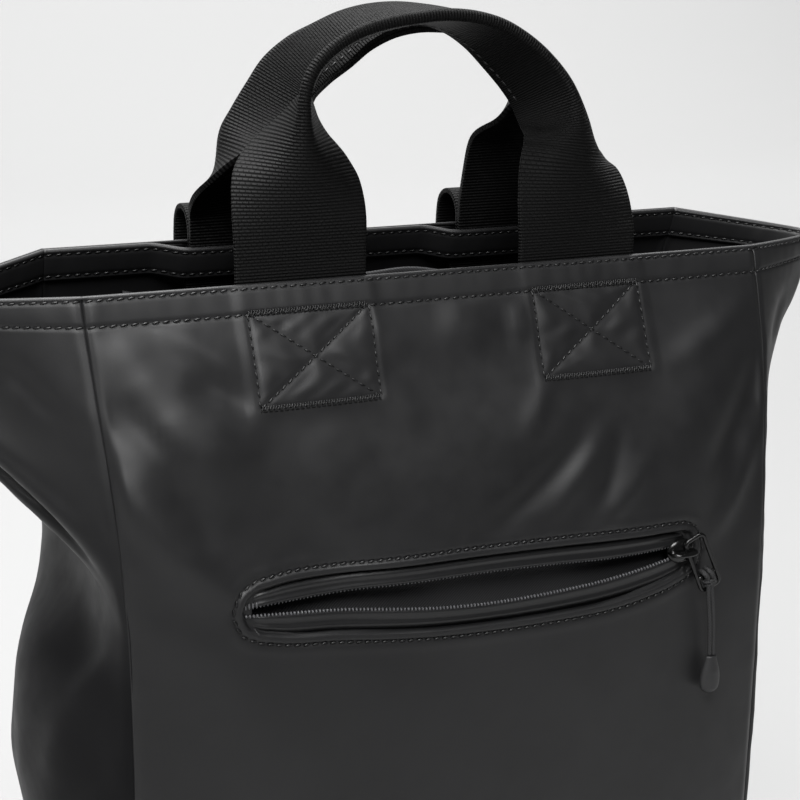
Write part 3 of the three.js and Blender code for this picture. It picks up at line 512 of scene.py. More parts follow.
def hem_relief(across, below):
    """Relief of the hem under the rim: two sewn lines, the roll between them and its puckers."""
    first, second = RIM_STITCHES
    sewn = -0.42 * (hill(below - first, 0.6) + hill(below - second, 0.75))
    roll = 0.17 * np.sin(np.pi * np.clip((below - first) / (second - first), 0, 1))
    ripple = np.sin(across / 1.35 + 1.9 * np.sin(across / 9.7)) + 0.6 * np.sin(across / 3.1 + 2)
    pucker = 0.05 * ripple * (hill(below - 6, 4.5) + 0.5 * hill(below - 14, 5))
    return sewn + roll + pucker


def patch_relief(x, below):
    """Relief where a handle's end is sewn on: a box with a cross, pillowed between the lines."""
    x = np.abs(x) - HANDLE_SPACING / 2
    z = below - PATCH_BELOW_RIM - PATCH_HEIGHT / 2
    half_x, half_z = PATCH_WIDTH / 2, PATCH_HEIGHT / 2
    webbing = ease((WEB_WIDTH / 2 + 4 - np.abs(x)) / 5) * ease((HANDLE_TAIL + 3 - below) / 5)
    edge = np.minimum(half_x - np.abs(x), half_z - np.abs(z))
    slope = half_z / half_x
    steep = math.hypot(1, slope)
    cross = np.minimum(np.abs(z - slope * x), np.abs(z + slope * x)) / steep
    inside = ease((edge + 1.2) / 1.2)
    gap = np.minimum(np.maximum(edge, 0), cross)
    pillow = 0.6 * (1 - hill(gap, 3.6)) * (edge > 0)
    bent = x + 2.5 * np.sin(z / 4.1)
    crease = 0.22 * np.sin(bent / 2.3 + 1.3 * np.sin(z / 3.3)) * np.sin(z / 3.1 - bent / 7)
    crease = crease * (1 - hill(gap, 1.6)) * (edge > 0)
    groove = -0.4 * (hill(edge, 0.6) + hill(cross, 0.55) * (edge > 0)) * inside
    return 0.45 * webbing + pillow + crease + groove


def strip_relief(distance):
    """Relief round the zip's opening: a turned edge, a raised strip and the sewn line round it."""
    raised = 0.7 * ease(distance / 1.0) * (1 - ease((distance - 2.5) / 1.3))
    turned = -1.5 * hill(np.maximum(distance, 0), 0.42)
    sewn = -0.42 * hill(distance - STRIP_WIDTH, 0.5)
    around = 0.22 * hill(distance - 6.2, 1.9)
    return raised + turned + sewn + around


def seam_relief(gap, z):
    """A seam's crease and the small puckers beside it, at a distance from the seam."""
    ripple = np.sin(z / 2.3 + 1.7 * np.sin(z / 11)) * 0.5 + np.sin(z / 5.1)
    return -1.1 * hill(gap, 1.7) + 0.12 * ripple * hill(gap - 4, 3.5)


def sag(x, z):
    """Slow waves of slack cloth."""
    return (
        0.35 * np.sin(x / 31 + 0.6) * np.sin(z / 37 + x / 90)
        + 0.22 * np.sin(x / 17 - z / 29 + 1.1)
        + 0.12 * np.sin(x / 9.1 + z / 12.7 + 2.3 * np.sin(z / 47))
    )


def face_relief(face, u, h):
    """Relief of a whole face at stops u and height shares h, outwards in millimetres."""
    z = h * BODY_HEIGHT
    below = BODY_HEIGHT - z
    slack = ease(below / 60)
    if face in ("front", "back"):
        x = u * through(h, SECTIONS["height"], SECTIONS["width"]) * SEAM
        gap = (1 - np.abs(u)) * SEAM
        total = hem_relief(x, below) + patch_relief(x, below) + seam_relief(gap, z)
        total = total + slack * sag(x + (0 if face == "front" else 200), z) * ease(gap / 12)
        if face == "front":
            total = total + folded(FRONT_FOLDS, x, z) * ease(gap / 5) * ease((below - 9) / 5)
            total = total + strip_relief(from_opening(x.ravel(), z.ravel())).reshape(x.shape)
        return total
    across = u * BODY_DEPTH / 2
    gap = (1 - np.abs(u)) * BODY_DEPTH / 2
    shift = 50 if face == "left_gusset" else -90
    soft = slack * sag(across * 1.6 + shift, z) * ease(gap / 10)
    front = across if face == "left_gusset" else -across
    creases = folded(GUSSET_FOLDS, front, z) * ease(gap / 5) * ease((below - 9) / 5)
    return hem_relief(across + shift, below) + seam_relief(gap, z) + soft + creases


def panel_points(face, u, h, roll):
    """A panel's outer surface, whose last rows roll inwards over the rim by the angles in roll."""
    here, out, up = skin(face, u, h)
    lifted = here + out * (face_relief(face, u, h) * (roll == 0))[..., None]
    turn_in = (RIM_ROLL * (1 - np.cos(roll)))[..., None]
    rise = (RIM_ROLL * np.sin(roll))[..., None]
    return lifted - out * turn_in + up * rise


# Mesh building

def lattice(name, points, uv=None, drop=None, close=False):
    """A sheet through rows and columns of points. Its UV map is in millimetres, cells of drop are
    left out, and a closed sheet joins its last column to its first."""
    rows, columns = points.shape[:2]
    bm = bmesh.new()
    bmesh.ops.create_grid(bm, x_segments=columns - 1, y_segments=rows - 1, size=0.5)
    bm.loops.layers.uv.new("UVMap")
    made = to_object(name, bm)
    mesh = made.data
    place = np.empty(len(mesh.vertices) * 3)
    mesh.vertices.foreach_get("co", place)
    place = place.reshape(-1, 3) + 0.5
    row = np.rint(place[:, 1] * (rows - 1)).astype(int)
    column = np.rint(place[:, 0] * (columns - 1)).astype(int)
    corners = np.empty(len(mesh.loops), np.int32)
    mesh.loops.foreach_get("vertex_index", corners)
    if uv is None:
        flat_u, flat_v = np.meshgrid(lengths(points[rows // 2]), lengths(points[:, columns // 2]))
        uv = np.stack([flat_u, flat_v], -1)
    mesh.vertices.foreach_set("co", (points[row, column] * MM).ravel())
    mesh.uv_layers[0].uv.foreach_set("vector", uv[row, column][corners].ravel())
    mesh.update()
    if drop is not None or close:
        bm = bmesh.new()
        bm.from_mesh(mesh)
        if drop is not None:
            cells = drop[row[corners].reshape(-1, 4).min(1), column[corners].reshape(-1, 4).min(1)]
            gone = [face for face, out in zip(bm.faces, cells) if out]
            bmesh.ops.delete(bm, geom=gone, context="FACES")
        if close:
            bmesh.ops.remove_doubles(bm, verts=bm.verts, dist=1e-6)
        bm.to_mesh(mesh)
        bm.free()
    return made


def to_object(name, bm):
    """A bmesh as a smooth shaded object of the scene."""
    mesh = bpy.data.meshes.new(name)
    bm.to_mesh(mesh)
    bm.free()
    mesh.shade_smooth()
    made = bpy.data.objects.new(name, mesh)
    bpy.context.scene.collection.objects.link(made)
    return made


def thicken(made, wall, offset=-1.0, bevel=0.0):
    """Gives a sheet its wall, on the inner side at offset -1 or on both sides at 0."""
    solid = made.modifiers.new("wall", "SOLIDIFY")
    solid.thickness = wall * MM
    solid.offset = offset
    if bevel:
        rounded = made.modifiers.new("edges", "BEVEL")
        rounded.width = bevel * MM
        rounded.segments = 2
        rounded.limit_method = "ANGLE"
        rounded.angle_limit = math.radians(50)
    return made


def dress(made, material, slot, *nodes):
    """Gives a piece its finish and its place on the model, for the nodes that it stands for."""
    made.data.materials.append(material)
    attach(made, "root")
    if nodes:
        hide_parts(*nodes)
    return made


def join(name, pieces):
    """Several finished meshes as one."""
    bm = bmesh.new()
    for made in pieces:
        bm.from_mesh(made.data)
        bpy.data.objects.remove(made)
    return to_object(name, bm)


def tube(name, path, width, thick=None, sides=12, square=1.0, ring=False, front=(0, -1, 0)):
    """A rounded bar along a path. Its section is an oval, or nearer a box the smaller square is."""
    path = np.asarray(path, float)
    count = len(path)
    if ring:
        tangent = np.roll(path, -1, axis=0) - np.roll(path, 1, axis=0)
    else:
        tangent = np.gradient(path, axis=0)
    tangent = unit(tangent)
    facing = np.asarray(front, float)
    across = unit(np.cross(tangent, facing))
    facing = unit(np.cross(across, tangent))
    angle = np.linspace(0, 2 * np.pi, sides + 1)
    over = np.sign(np.cos(angle)) * np.abs(np.cos(angle)) ** square
    out = np.sign(np.sin(angle)) * np.abs(np.sin(angle)) ** square
    width = np.broadcast_to(width, count)[:, None, None] / 2
    thick = width if thick is None else np.broadcast_to(thick, count)[:, None, None] / 2
    points = (
        path[:, None]
        + across[:, None] * over[None, :, None] * width
        + facing[:, None] * out[None, :, None] * thick
    )
    run = lengths(path)
    girth = np.pi * float(np.mean(width) + np.mean(thick))
    flat_u, flat_v = np.meshgrid(angle / (2 * np.pi) * girth, run)
    uv = np.stack([flat_u, flat_v], -1)
    if ring:
        points = np.concatenate([points, points[:1]])
        uv = np.concatenate([uv, uv[:1] + [0, run[-1] / (count - 1)]])
    made = lattice(name, points, uv, close=True)
    if not ring:
        bm = bmesh.new()
        bm.from_mesh(made.data)
        edges = [edge for edge in bm.edges if edge.is_boundary]
        bmesh.ops.edgeloop_fill(bm, edges=edges)
        bmesh.ops.recalc_face_normals(bm, faces=bm.faces)
        bm.to_mesh(made.data)
        bm.free()
    return made


# Finishes

WAVE = math.pi / 10  # scale of a wave texture whose bands are one unit apart
RIB_PITCH = 1.18  # from rib to rib of the webbing, as woven
FLOAT_LENGTH = 2.1  # of a yarn where it lies over the ribs
TWILL_SCALE = 0.5  # lines 0.9 mm apart, coarser than the real ones so that they show
BRAID_SCALE = 0.36  # strands 0.9 mm across
PAINTED_SHADE_LOW = 265  # between these heights the side cloth's painted shade fades out going up: below them its specular is turned down for the shadow under the fold
PAINTED_SHADE_HIGH = 345


def linear(code):
    """An sRGB hex value as a linear colour."""
    parts = [int(code[i:i + 2], 16) / 255 for i in (1, 3, 5)]
    return [c / 12.92 if c <= 0.04045 else ((c + 0.055) / 1.055) ** 2.4 for c in parts] + [1]


def add(tree, kind, inputs=(), **settings):
    """Adds a node with its settings, and gives its sockets their values or what feeds them."""
    made = tree.nodes.new("ShaderNode" + kind)
    for name, value in settings.items():
        setattr(made, name, value)
    for name, value in dict(inputs).items():
        if isinstance(value, bpy.types.NodeSocket):
            tree.links.new(value, made.inputs[name])
        else:
            made.inputs[name].default_value = value
    return made


def start_material(name):
    """A new material and its node tree, with nothing in it yet."""
    material = bpy.data.materials.new(name)
    material.use_nodes = True
    tree = material.node_tree
    tree.nodes.clear()
    return material, tree


def end_material(tree, inputs):
    """Gives a node tree its shader, with these inputs, and its output."""
    shader = add(tree, "BsdfPrincipled", inputs)
    add(tree, "OutputMaterial", {"Surface": shader.outputs[0]})


def coated_cloth(name, shade_painted_share):
    """Polyester canvas with a calendered polyurethane coat: satin, with a fine pebbled grain that
    breaks up its soft highlights. The grain is drawn at 0.55 mm, coarser than the real one, so
    that it shows. Below the gussets' fold its specular is turned down by a share: painted shade
    for the shadow that the fold casts there."""
    material, tree = start_material(name)
    place = add(tree, "TexCoord").outputs["Object"]
    grain = add(tree, "TexNoise", {"Vector": place, "Scale": 1 / (0.55 * MM), "Detail": 2.0})
    cloud = add(tree, "TexNoise", {"Vector": place, "Scale": 1 / (55 * MM), "Detail": 3.0})
    rub = add(tree, "TexNoise", {"Vector": place, "Scale": 1 / (9 * MM), "Detail": 4.0})
    tint = add(tree, "MapRange", {"Value": cloud.outputs[0], "From Min": 0.35, "From Max": 0.65})
    colour = add(tree, "Mix", {
        0: tint.outputs[0], 6: linear("#151516"), 7: linear("#1a1a1b")}, data_type="RGBA")
    rough = add(tree, "MapRange", {
        "Value": rub.outputs[0], "From Min": 0.3, "From Max": 0.7, "To Min": 0.44, "To Max": 0.52})
    bump = add(tree, "Bump", {
        "Height": grain.outputs[0], "Strength": 0.16, "Distance": 0.12 * MM})
    inputs = {
        "Base Color": colour.outputs[2], "Roughness": rough.outputs[0],
        "Normal": bump.outputs[0], "IOR": 1.47}
    # painted shade: specular turned down below the gussets' fold, where the fold's shadow falls
    if shade_painted_share:
        height = add(tree, "SeparateXYZ", {"Vector": place})
        specular_with_painted_shade = add(tree, "MapRange", {
            "Value": height.outputs["Z"], "From Min": PAINTED_SHADE_LOW * MM, "From Max": PAINTED_SHADE_HIGH * MM,
            "To Min": 0.5 * (1 - shade_painted_share), "To Max": 0.5})
        inputs["Specular IOR Level"] = specular_with_painted_shade.outputs[0]
    end_material(tree, inputs)
    return material


def webbing():
    """Nylon webbing, woven: ribs across the band, each of short floats set half over the next,
    which give it a matt and nearly black face with a light that follows the ribs. That light is
    partly the bump and partly painted: the colour is painted darker in the grooves between ribs
    and floats, as their shade."""
    material, tree = start_material("nylon_webbing_woven")
    flat = add(tree, "TexCoord").outputs["UV"]
    ribs = add(tree, "TexWave", {"Vector": flat, "Scale": WAVE / RIB_PITCH}, bands_direction="Y")
    floats = add(tree, "TexBrick", {
        "Vector": flat, "Color1": linear("#ffffff"), "Color2": linear("#bcbcbc"),
        "Mortar": linear("#000000"), "Scale": 1.0, "Mortar Size": 0.16, "Mortar Smooth": 1.0,
        "Brick Width": FLOAT_LENGTH, "Row Height": RIB_PITCH})
    fuzz = add(tree, "TexNoise", {"Vector": flat, "Scale": 1.3, "Detail": 3.0})
    weave_relief_and_painted_shade = add(tree, "Math", {
        0: ribs.outputs[1], 1: floats.outputs["Color"]}, operation="MULTIPLY")
    hair = add(tree, "Math", {0: fuzz.outputs[0], 1: 0.3}, operation="MULTIPLY")
    height = add(tree, "Math", {0: weave_relief_and_painted_shade.outputs[0], 1: hair.outputs[0]}, operation="ADD")
    # painted shade: the colour follows the weave's height, darkest in its grooves
    colour = add(tree, "Mix", {
        0: weave_relief_and_painted_shade.outputs[0], 6: linear("#010101"), 7: linear("#131313")}, data_type="RGBA")
    bump = add(tree, "Bump", {"Height": height.outputs[0], "Strength": 1.0, "Distance": 0.4 * MM})
    end_material(tree, {
        "Base Color": colour.outputs[2], "Roughness": 0.6, "Normal": bump.outputs[0],
        "Specular IOR Level": 0.12})
    return material


def twill():
    """Polyester lining, twill woven: matt and a little greyer than the coat, with fine slanting
    lines."""
    material, tree = start_material("polyester_lining_twill")
    flat = add(tree, "TexCoord").outputs["UV"]
    lines = add(tree, "TexWave", {
        "Vector": flat, "Scale": TWILL_SCALE, "Distortion": 0.3}, bands_direction="DIAGONAL")
    colour = add(tree, "Mix", {
        0: lines.outputs["Color"], 6: linear("#1e1e1f"), 7: linear("#363638")}, data_type="RGBA")
    bump = add(tree, "Bump", {
        "Height": lines.outputs["Color"], "Strength": 0.5, "Distance": 0.15 * MM})
    end_material(tree, {
        "Base Color": colour.outputs[2], "Roughness": 0.75, "Normal": bump.outputs[0]})
    return material


def grained(name, colour, low, high, grain_mm, detail, strength):
    """A plain finish with a grain of its own size, which moves its roughness from low to high."""
    material, tree = start_material(name)
    place = add(tree, "TexCoord").outputs["Object"]
    grain = add(tree, "TexNoise", {
        "Vector": place, "Scale": 1 / (grain_mm * MM), "Detail": detail})
    rough = add(tree, "MapRange", {
        "Value": grain.outputs[0], "From Min": 0.3, "From Max": 0.7, "To Min": low, "To Max": high})
    bump = add(tree, "Bump", {
        "Height": grain.outputs[0], "Strength": strength, "Distance": 0.1 * MM})
    end_material(tree, {
        "Base Color": linear(colour), "Roughness": rough.outputs[0], "Normal": bump.outputs[0]})
    return material


def braid():
    """Polyester cord, braided: crossing strands in small diamonds that catch the light singly,
    partly through their bump and partly as painted light: the colour is lighter on each
    strand's crest and darker between.
    """
    material, tree = start_material("polyester_cord_braided")
    flat = add(tree, "TexCoord").outputs["UV"]
    waves = []
    for turn in (40, -40):
        turned = add(tree, "Mapping", {"Vector": flat, "Rotation": (0, 0, math.radians(turn))})
        waves.append(add(tree, "TexWave", {"Vector": turned.outputs[0], "Scale": BRAID_SCALE}))
    weave_relief_and_painted_shade = add(tree, "Math", {
        0: waves[0].outputs[1], 1: waves[1].outputs[1]}, operation="MAXIMUM").outputs[0]
    # painted highlight and shade: the colour follows the strands' height, lighter on their crests
    colour = add(tree, "Mix", {
        0: weave_relief_and_painted_shade, 6: linear("#060606"), 7: linear("#303031")}, data_type="RGBA")
    bump = add(tree, "Bump", {"Height": weave_relief_and_painted_shade, "Strength": 0.8, "Distance": 0.2 * MM})
    end_material(tree, {
        "Base Color": colour.outputs[2], "Roughness": 0.7, "Normal": bump.outputs[0]})
    return material


CLOTH = coated_cloth("coated_canvas_calendered", 0.0)
# The gussets' cloth: below their fold its specular is turned down, painted shade for the fold's
# shadow
SIDE_CLOTH_PAINTED_SHADE = coated_cloth("coated_canvas_painted_fold_shade", 0.86)
WEBBING = webbing()
TWILL = twill()
BRAID = braid()
# Zip tape laminated with polyurethane film: smooth and rubbery, with narrow highlights
TAPE = grained("zip_tape_film_laminated", "#141415", 0.34, 0.44, 0.5, 2.0, 0.12)
# Nylon monofilament coil, drawn: smooth and glossy, so that each tooth glints; its grey is lighter
# than the coil's own grey-black, a painted highlight for those glints
COIL_PAINTED_GLINT = grained("nylon_coil_painted_glint", "#58585a", 0.255, 0.345, 0.6, 3.0, 0.05)
# Zinc alloy, die-cast and coated with lacquer: black gloss with sharp highlights
LACQUER = grained("zinc_die_cast_lacquered", "#0b0b0b", 0.17, 0.23, 1.2, 3.0, 0.06)
# Thermoplastic rubber, moulded: matt, with a fine grain that spreads its highlight
RUBBER = grained("thermoplastic_rubber_moulded", "#262627", 0.442, 0.598, 0.5, 3.0, 0.15)
# Acetal, moulded: harder and a little glossier than the rubber
ACETAL = grained("acetal_moulded", "#161616", 0.357, 0.483, 0.6, 3.0, 0.12)
# Polyester sewing thread, twisted and waxed: darker than the cloth, with small glints
THREAD = grained("polyester_thread_twisted", "#0a0a0b", 0.357, 0.483, 0.4, 3.0, 0.3)


# Pull cord and what hangs on it

def route_points(start, route, hang):
    """The points that the pull cord follows, in millimetres."""
    return np.array([(start[0] + drift, start[1], start[2] - down * hang) for down, drift in route])


def pull_cord():
    """The doubled cord, as two strands side by side along its route."""
    route = route_points(CORD_START, CORD_ROUTE, CORD_HANG)
    knots = np.linspace(0, 1, len(route))
    fine = through(np.linspace(0, 1, 60), knots, route)
    reach = CORD_WIDTH / 4
    strands = []
    for side in (-1, 1):
        strand = fine + np.array([side * reach, 0, 0])
        strand[:, 1] += 0.12 * np.sin(np.linspace(0, 9, 60) + side)
        strands.append(tube(f"strand_{side}", strand, CORD_WIDTH / 2, CORD_THICKNESS, sides=14))
    cord = dress(join("pull_cord_braid", strands), BRAID, "cord", "pull_cord")
    return cord, route


def cord_end():
    """The moulded drop at the cord's end, as a bar whose width changes on its way down."""
    top = np.array(CORD_START) + (CORD_ROUTE[-1][1], 0, -CORD_HANG - SEAM_GAP)
    down = np.array([0, 0.02, 0.06, 0.2, 0.4, 0.6, 0.76, 0.87, 0.94, 0.98, 1])
    wide = np.array([0.42, 0.47, 0.5, 0.62, 0.8, 0.9, 0.88, 0.78, 0.6, 0.38, 0.08])
    fine = np.linspace(0, 1, 40) ** 0.9
    path = top + np.stack([0 * fine, 0 * fine, -fine * CORD_END_LENGTH], -1)
    width = through(fine, down, wide)
    made = tube("cord_end_moulding", path, width * CORD_END_WIDTH,
                np.minimum(width * 1.25, 1) * CORD_END_THICKNESS, sides=28)
    return dress(made, RUBBER, "soft_plastic", "cord_end")


def puller_place(across, drop, out=0.0):
    """A point in the puller's frame: across its width, down from its upper bar, and outwards."""
    facing = np.cross(PULLER_ACROSS, PULLER_DOWN)
    return (
        np.array(PULLER_TOP)
        + np.multiply.outer(across, PULLER_ACROSS)
        + np.multiply.outer(drop, PULLER_DOWN)
        - np.multiply.outer(out, facing)
    )


def round_loop(half, low, high, radius, step=10):
    """A rectangle with round corners, as points across and down."""
    corners = [(half, low, 0), (half, high, 1), (-half, high, 2), (-half, low, 3)]
    points = []
    for x, y, turn in corners:
        for angle in np.radians(np.linspace(-90, 0, step) + 90 * turn):
            points.append((
                x - math.copysign(radius, x) + radius * math.cos(angle),
                y + (radius if y == low else -radius) + radius * math.sin(angle),
            ))
    return np.array(points)


def puller():
    """The puller's wire frame with its crossbar."""
    half = (PULLER_WIDTH - PULLER_BAR) / 2
    loop = round_loop(half, 0, PULLER_LENGTH - PULLER_BAR, PULLER_CORNER)
    facing = -np.cross(PULLER_ACROSS, PULLER_DOWN)
    frame_bar = tube("puller_frame", puller_place(loop[:, 0], loop[:, 1]), PULLER_BAR,
                     sides=12, square=0.7, ring=True, front=facing)
    across = np.linspace(-half, half, 8)
    bar = tube("puller_crossbar", puller_place(across, np.full(8, CROSSBAR_DROP)),
               PULLER_BAR, sides=12, front=facing)
    return dress(join("puller_wire", [frame_bar, bar]), LACQUER, "black_metal", "zip_puller")


def hitch():
    """The cord's loop round the crossbar: two turns over the bar and two round its own strands."""
    facing = -np.cross(PULLER_ACROSS, PULLER_DOWN)
    turns = []
    angle = np.linspace(0, 2 * np.pi, 28, endpoint=False)
    for side in (-1, 1):
        path = puller_place(
            side * 1.1 + 0.35 * np.sin(angle), CROSSBAR_DROP + 2.1 * np.sin(angle),
            2.1 * np.cos(angle))
        turns.append(tube(f"turn_{side}", path, 2.0, sides=10, ring=True, front=PULLER_ACROSS))
    for step in (0, 1):
        path = puller_place(
            2.2 * np.cos(angle), CROSSBAR_DROP + 2.6 + step * 1.5 + 0.4 * np.cos(angle + step),
            1.7 * np.sin(angle) + 0.5)
        turns.append(tube(f"wrap_{step}", path, 1.7, sides=10, ring=True, front=PULLER_DOWN))
    return dress(join("cord_hitch_knot", turns), BRAID, "cord", "cord_hitch")


cord, cord_route = pull_cord()
knot = hitch()
cord_tip = cord_end()
puller()


def slider():
    """The zip's slider: a domed front plate with its arch, and a flat back plate."""
    middle = np.array(SLIDER_AT)
    bm = bmesh.new()
    for size, at in (((12.2, 4.6, 10.2), -2.3), ((10.6, 1.8, 8.4), 2.7)):
        place = Matrix.Translation(Vector(middle + (0, at, 0)) * MM) @ Matrix.Diagonal(
            Vector(size) * MM).to_4x4()
        bmesh.ops.create_uvsphere(bm, u_segments=32, v_segments=20, radius=0.5, matrix=place)
    plates = to_object("plates", bm)
    t = np.linspace(0, 1, 30)
    angle = np.pi * t
    reach = np.sign(-np.cos(angle)) * np.abs(np.cos(angle)) ** 0.55 * 4.4
    out = np.abs(np.sin(angle)) ** 0.4 * 4.9 + 2.4
    arch = tube("arch", middle + np.stack([reach, -out, 0 * t], -1), 3.2, 1.6,
                sides=12, square=0.6, front=(0, 0, 1))
    nose = tube("nose", middle + np.array([(-5.2, -3.6, 0), (-4.6, -4.4, 0), (-3.6, -4.6, 0)]),
                (2.6, 3.4, 2.8), sides=14, front=(0, 0, 1))
    for made in (arch, nose):
        bm = bmesh.new()
        bm.from_mesh(made.data)
        bmesh.ops.recalc_face_normals(bm, faces=bm.faces)
        bm.to_mesh(made.data)
        bm.free()
    return dress(join("slider_body", [plates, arch, nose]), LACQUER, "black_metal", "zip_slider")


slider()


# Body panels

ROLL_ANGLES = np.radians([18, 36, 54, 72, 90])
ROLLED = (BODY_HEIGHT - RIM_ROLL) / BODY_HEIGHT


def with_roll(heights):
    """Rows of a panel: its height shares, then the rows that roll over the rim."""
    h = np.concatenate([np.asarray(heights) / BODY_HEIGHT, np.full(len(ROLL_ANGLES), ROLLED)])
    roll = np.concatenate([np.zeros(len(heights)), ROLL_ANGLES])
    return h, roll


def panel(face, across, heights, name, node, height_at=None, drop=None):
    """A body panel through stops across, in millimetres at the rim, and heights."""
    h, roll = with_roll(heights)
    reach = SEAM if face in ("front", "back") else BODY_DEPTH / 2
    shrink = 1 - SEAM_GAP / 2 / reach
    u = across / reach * shrink
    grid_u, grid_h = np.meshgrid(u, h)
    grid_roll = np.meshgrid(u, roll)[1]
    if height_at is not None:
        grid_h[: len(heights)] = height_at(grid_u[: len(heights)] * reach) / BODY_HEIGHT
    points = panel_points(face, grid_u, grid_h, grid_roll)
    flat_u = grid_u * reach
    flat_v = grid_h * BODY_HEIGHT + grid_roll * RIM_ROLL
    made = lattice(name, points, np.stack([flat_u, flat_v], -1), drop)
    # the gussets get the cloth with painted shade below their fold
    cloth = SIDE_CLOTH_PAINTED_SHADE if face.endswith("gusset") else CLOTH
    return dress(thicken(made, WALL), cloth, "coated_cloth", node)


PATCH_FOOT = BODY_HEIGHT - 44  # rows are fine above this height, and finer above the next
HEM_FOOT = BODY_HEIGHT - 14
FOLD_FOOT = BODY_HEIGHT - 150
HEM_ROWS = [(PATCH_FOOT, HEM_FOOT, 1.0), (HEM_FOOT, BODY_HEIGHT * ROLLED, 0.6)]
SIDE_ROWS = [(WALL + SEAM_GAP, 12, 2), (12, FOLD_FOOT, 4.5), (FOLD_FOOT, PATCH_FOOT, 2.6)]
LIP = 4.5  # how far the finest rows reach above and below the opening
EDGE = 13  # how far the fine rows reach
MIN_LIP = 0.35  # least height of a half of the opening, at its two ends
BLEND_UP = 45  # how far the rows above the opening take to become level
BLEND_DOWN = 60


def front_panel():
    """The front, with its rows bent round the opening and the cells between its lips left out."""
    across = stops(
        (-SEAM, -131, 0.9), (-131, -100, 2.6), (-100, -84, 0.6), (-84, -29, 1.1), (-29, 29, 2.6),
        (29, 84, 1.1), (84, 103, 0.6), (103, 131, 2.6), (131, SEAM, 0.9))
    below = stops(
        (ZIP_LINE - WALL - SEAM_GAP, 20, 4.2), (20, EDGE, 1.4), (EDGE, LIP, 0.8), (LIP, 0, 0.45))
    above = stops(
        (0, LIP, 0.45), (LIP, EDGE, 0.8), (EDGE, 20, 1.4), (20, PATCH_FOOT - ZIP_LINE, 2.8))
    high = stops(*HEM_ROWS)
    nominal = np.concatenate([ZIP_LINE - below, ZIP_LINE + above, high[1:]])

    def height_at(x):
        top = np.maximum(zip_z("top", x[0]) - ZIP_LINE, MIN_LIP)
        bottom = np.maximum(ZIP_LINE - zip_z("bottom", x[0]), MIN_LIP)
        lower = -below[:, None] - bottom * (1 - ease(below[:, None] / BLEND_DOWN))
        upper = above[:, None] + top * (1 - ease(above[:, None] / BLEND_UP))
        rest = np.repeat(high[1:, None] - ZIP_LINE, x.shape[1], axis=1)
        return ZIP_LINE + np.concatenate([lower, upper, rest])

    cells = np.zeros((len(nominal) + len(ROLL_ANGLES) - 1, len(across) - 1), bool)
    middles = (across[:-1] + across[1:]) / 2
    cells[len(below) - 1] = (middles > ZIP_LEFT) & (middles < ZIP_RIGHT)
    return panel("front", across, nominal, "front_panel_cloth", "front_panel", height_at, cells)


front_panel()
side_heights = np.concatenate([stops(*SIDE_ROWS), stops(*HEM_ROWS)[1:]])
back_across = stops(
    (-SEAM, -131, 1), (-131, -84, 3), (-84, -29, 1.3), (-29, 29, 3), (29, 84, 1.3), (84, 131, 3),
    (131, SEAM, 1))
panel("back", back_across, side_heights, "back_panel_cloth", "back_panel")
half = BODY_DEPTH / 2
gusset_across = stops((-half, -half + 6, 0.9), (-half + 6, half - 6, 1.7), (half - 6, half, 0.9))
for side in ("left", "right"):
    panel(f"{side}_gusset", gusset_across, side_heights, f"{side}_gusset_cloth", f"{side}_gusset")


def base_panel():
    """The bottom, from the front panel's foot to the back panel's, rounded out at the sides."""
    across = np.linspace(-1, 1, 70)
    deep = np.linspace(-1, 1, 36)
    front, _, _ = skin("front", across, 0.0)
    back, _, _ = skin("back", -across, 0.0)
    share = (deep[:, None, None] + 1) / 2
    points = front[None] * (1 - share) + back[None] * share
    swell = SECTIONS["swell"][0] * SWELL * (1 - deep**4)
    points[..., 0] += swell[:, None] * np.sign(across) * np.abs(across) ** 9
    points[..., 2] = 0
    made = lattice("base_panel_cloth", points[:, ::-1])
    return dress(thicken(made, WALL), CLOTH, "coated_cloth", "base_panel")


base_panel()


def facing_depth(face, u):
    """How deep the facing's inner surface lies, stepping over the webbing sewn under it."""
    if face not in ("front", "back"):
        return np.full(np.shape(u), layer_depth(0) + FACING)
    x = np.abs(np.abs(u) * SEAM - HANDLE_SPACING / 2)
    over = ease((WEB_WIDTH / 2 + FACING_RAMP - x) / FACING_RAMP)
    layers = 1 if face == "front" else 2
    return layer_depth(0) + FACING + over * (layer_depth(layers) - layer_depth(0))


def rim_facing():
    """The band of cloth inside the rim, whose first rows roll over its edge."""
    sheets = []
    roll = np.radians([90, 72, 54, 36, 18])
    rows = stops((BODY_HEIGHT * ROLLED, BODY_HEIGHT - HEM_HEIGHT, 0.6))
    h = np.concatenate([np.full(len(roll), ROLLED), rows / BODY_HEIGHT])
    roll = np.concatenate([roll, np.zeros(len(rows))])
    for face in ("front", "right_gusset", "back", "left_gusset"):
        reach = SEAM if face in ("front", "back") else BODY_DEPTH / 2
        u = np.linspace(-1, 1, int(reach / 0.75))
        grid_u, grid_h = np.meshgrid(u, h)
        grid_roll = np.meshgrid(u, roll)[1]
        here, out, up = skin(face, grid_u, grid_h)
        below = BODY_HEIGHT * (1 - grid_h)
        relief = hem_relief(grid_u * reach + 30, below) * (grid_roll == 0)
        depth = facing_depth(face, grid_u) + relief - RIM_ROLL * (1 - np.cos(grid_roll))
        points = here - out * depth[..., None] + up * (RIM_ROLL * np.sin(grid_roll))[..., None]
        sheets.append(lattice(f"facing_{face}", points))
    made = join("rim_facing_cloth", sheets)
    return dress(thicken(made, FACING), CLOTH, "coated_cloth", "rim_facing")


rim_facing()


# Handles

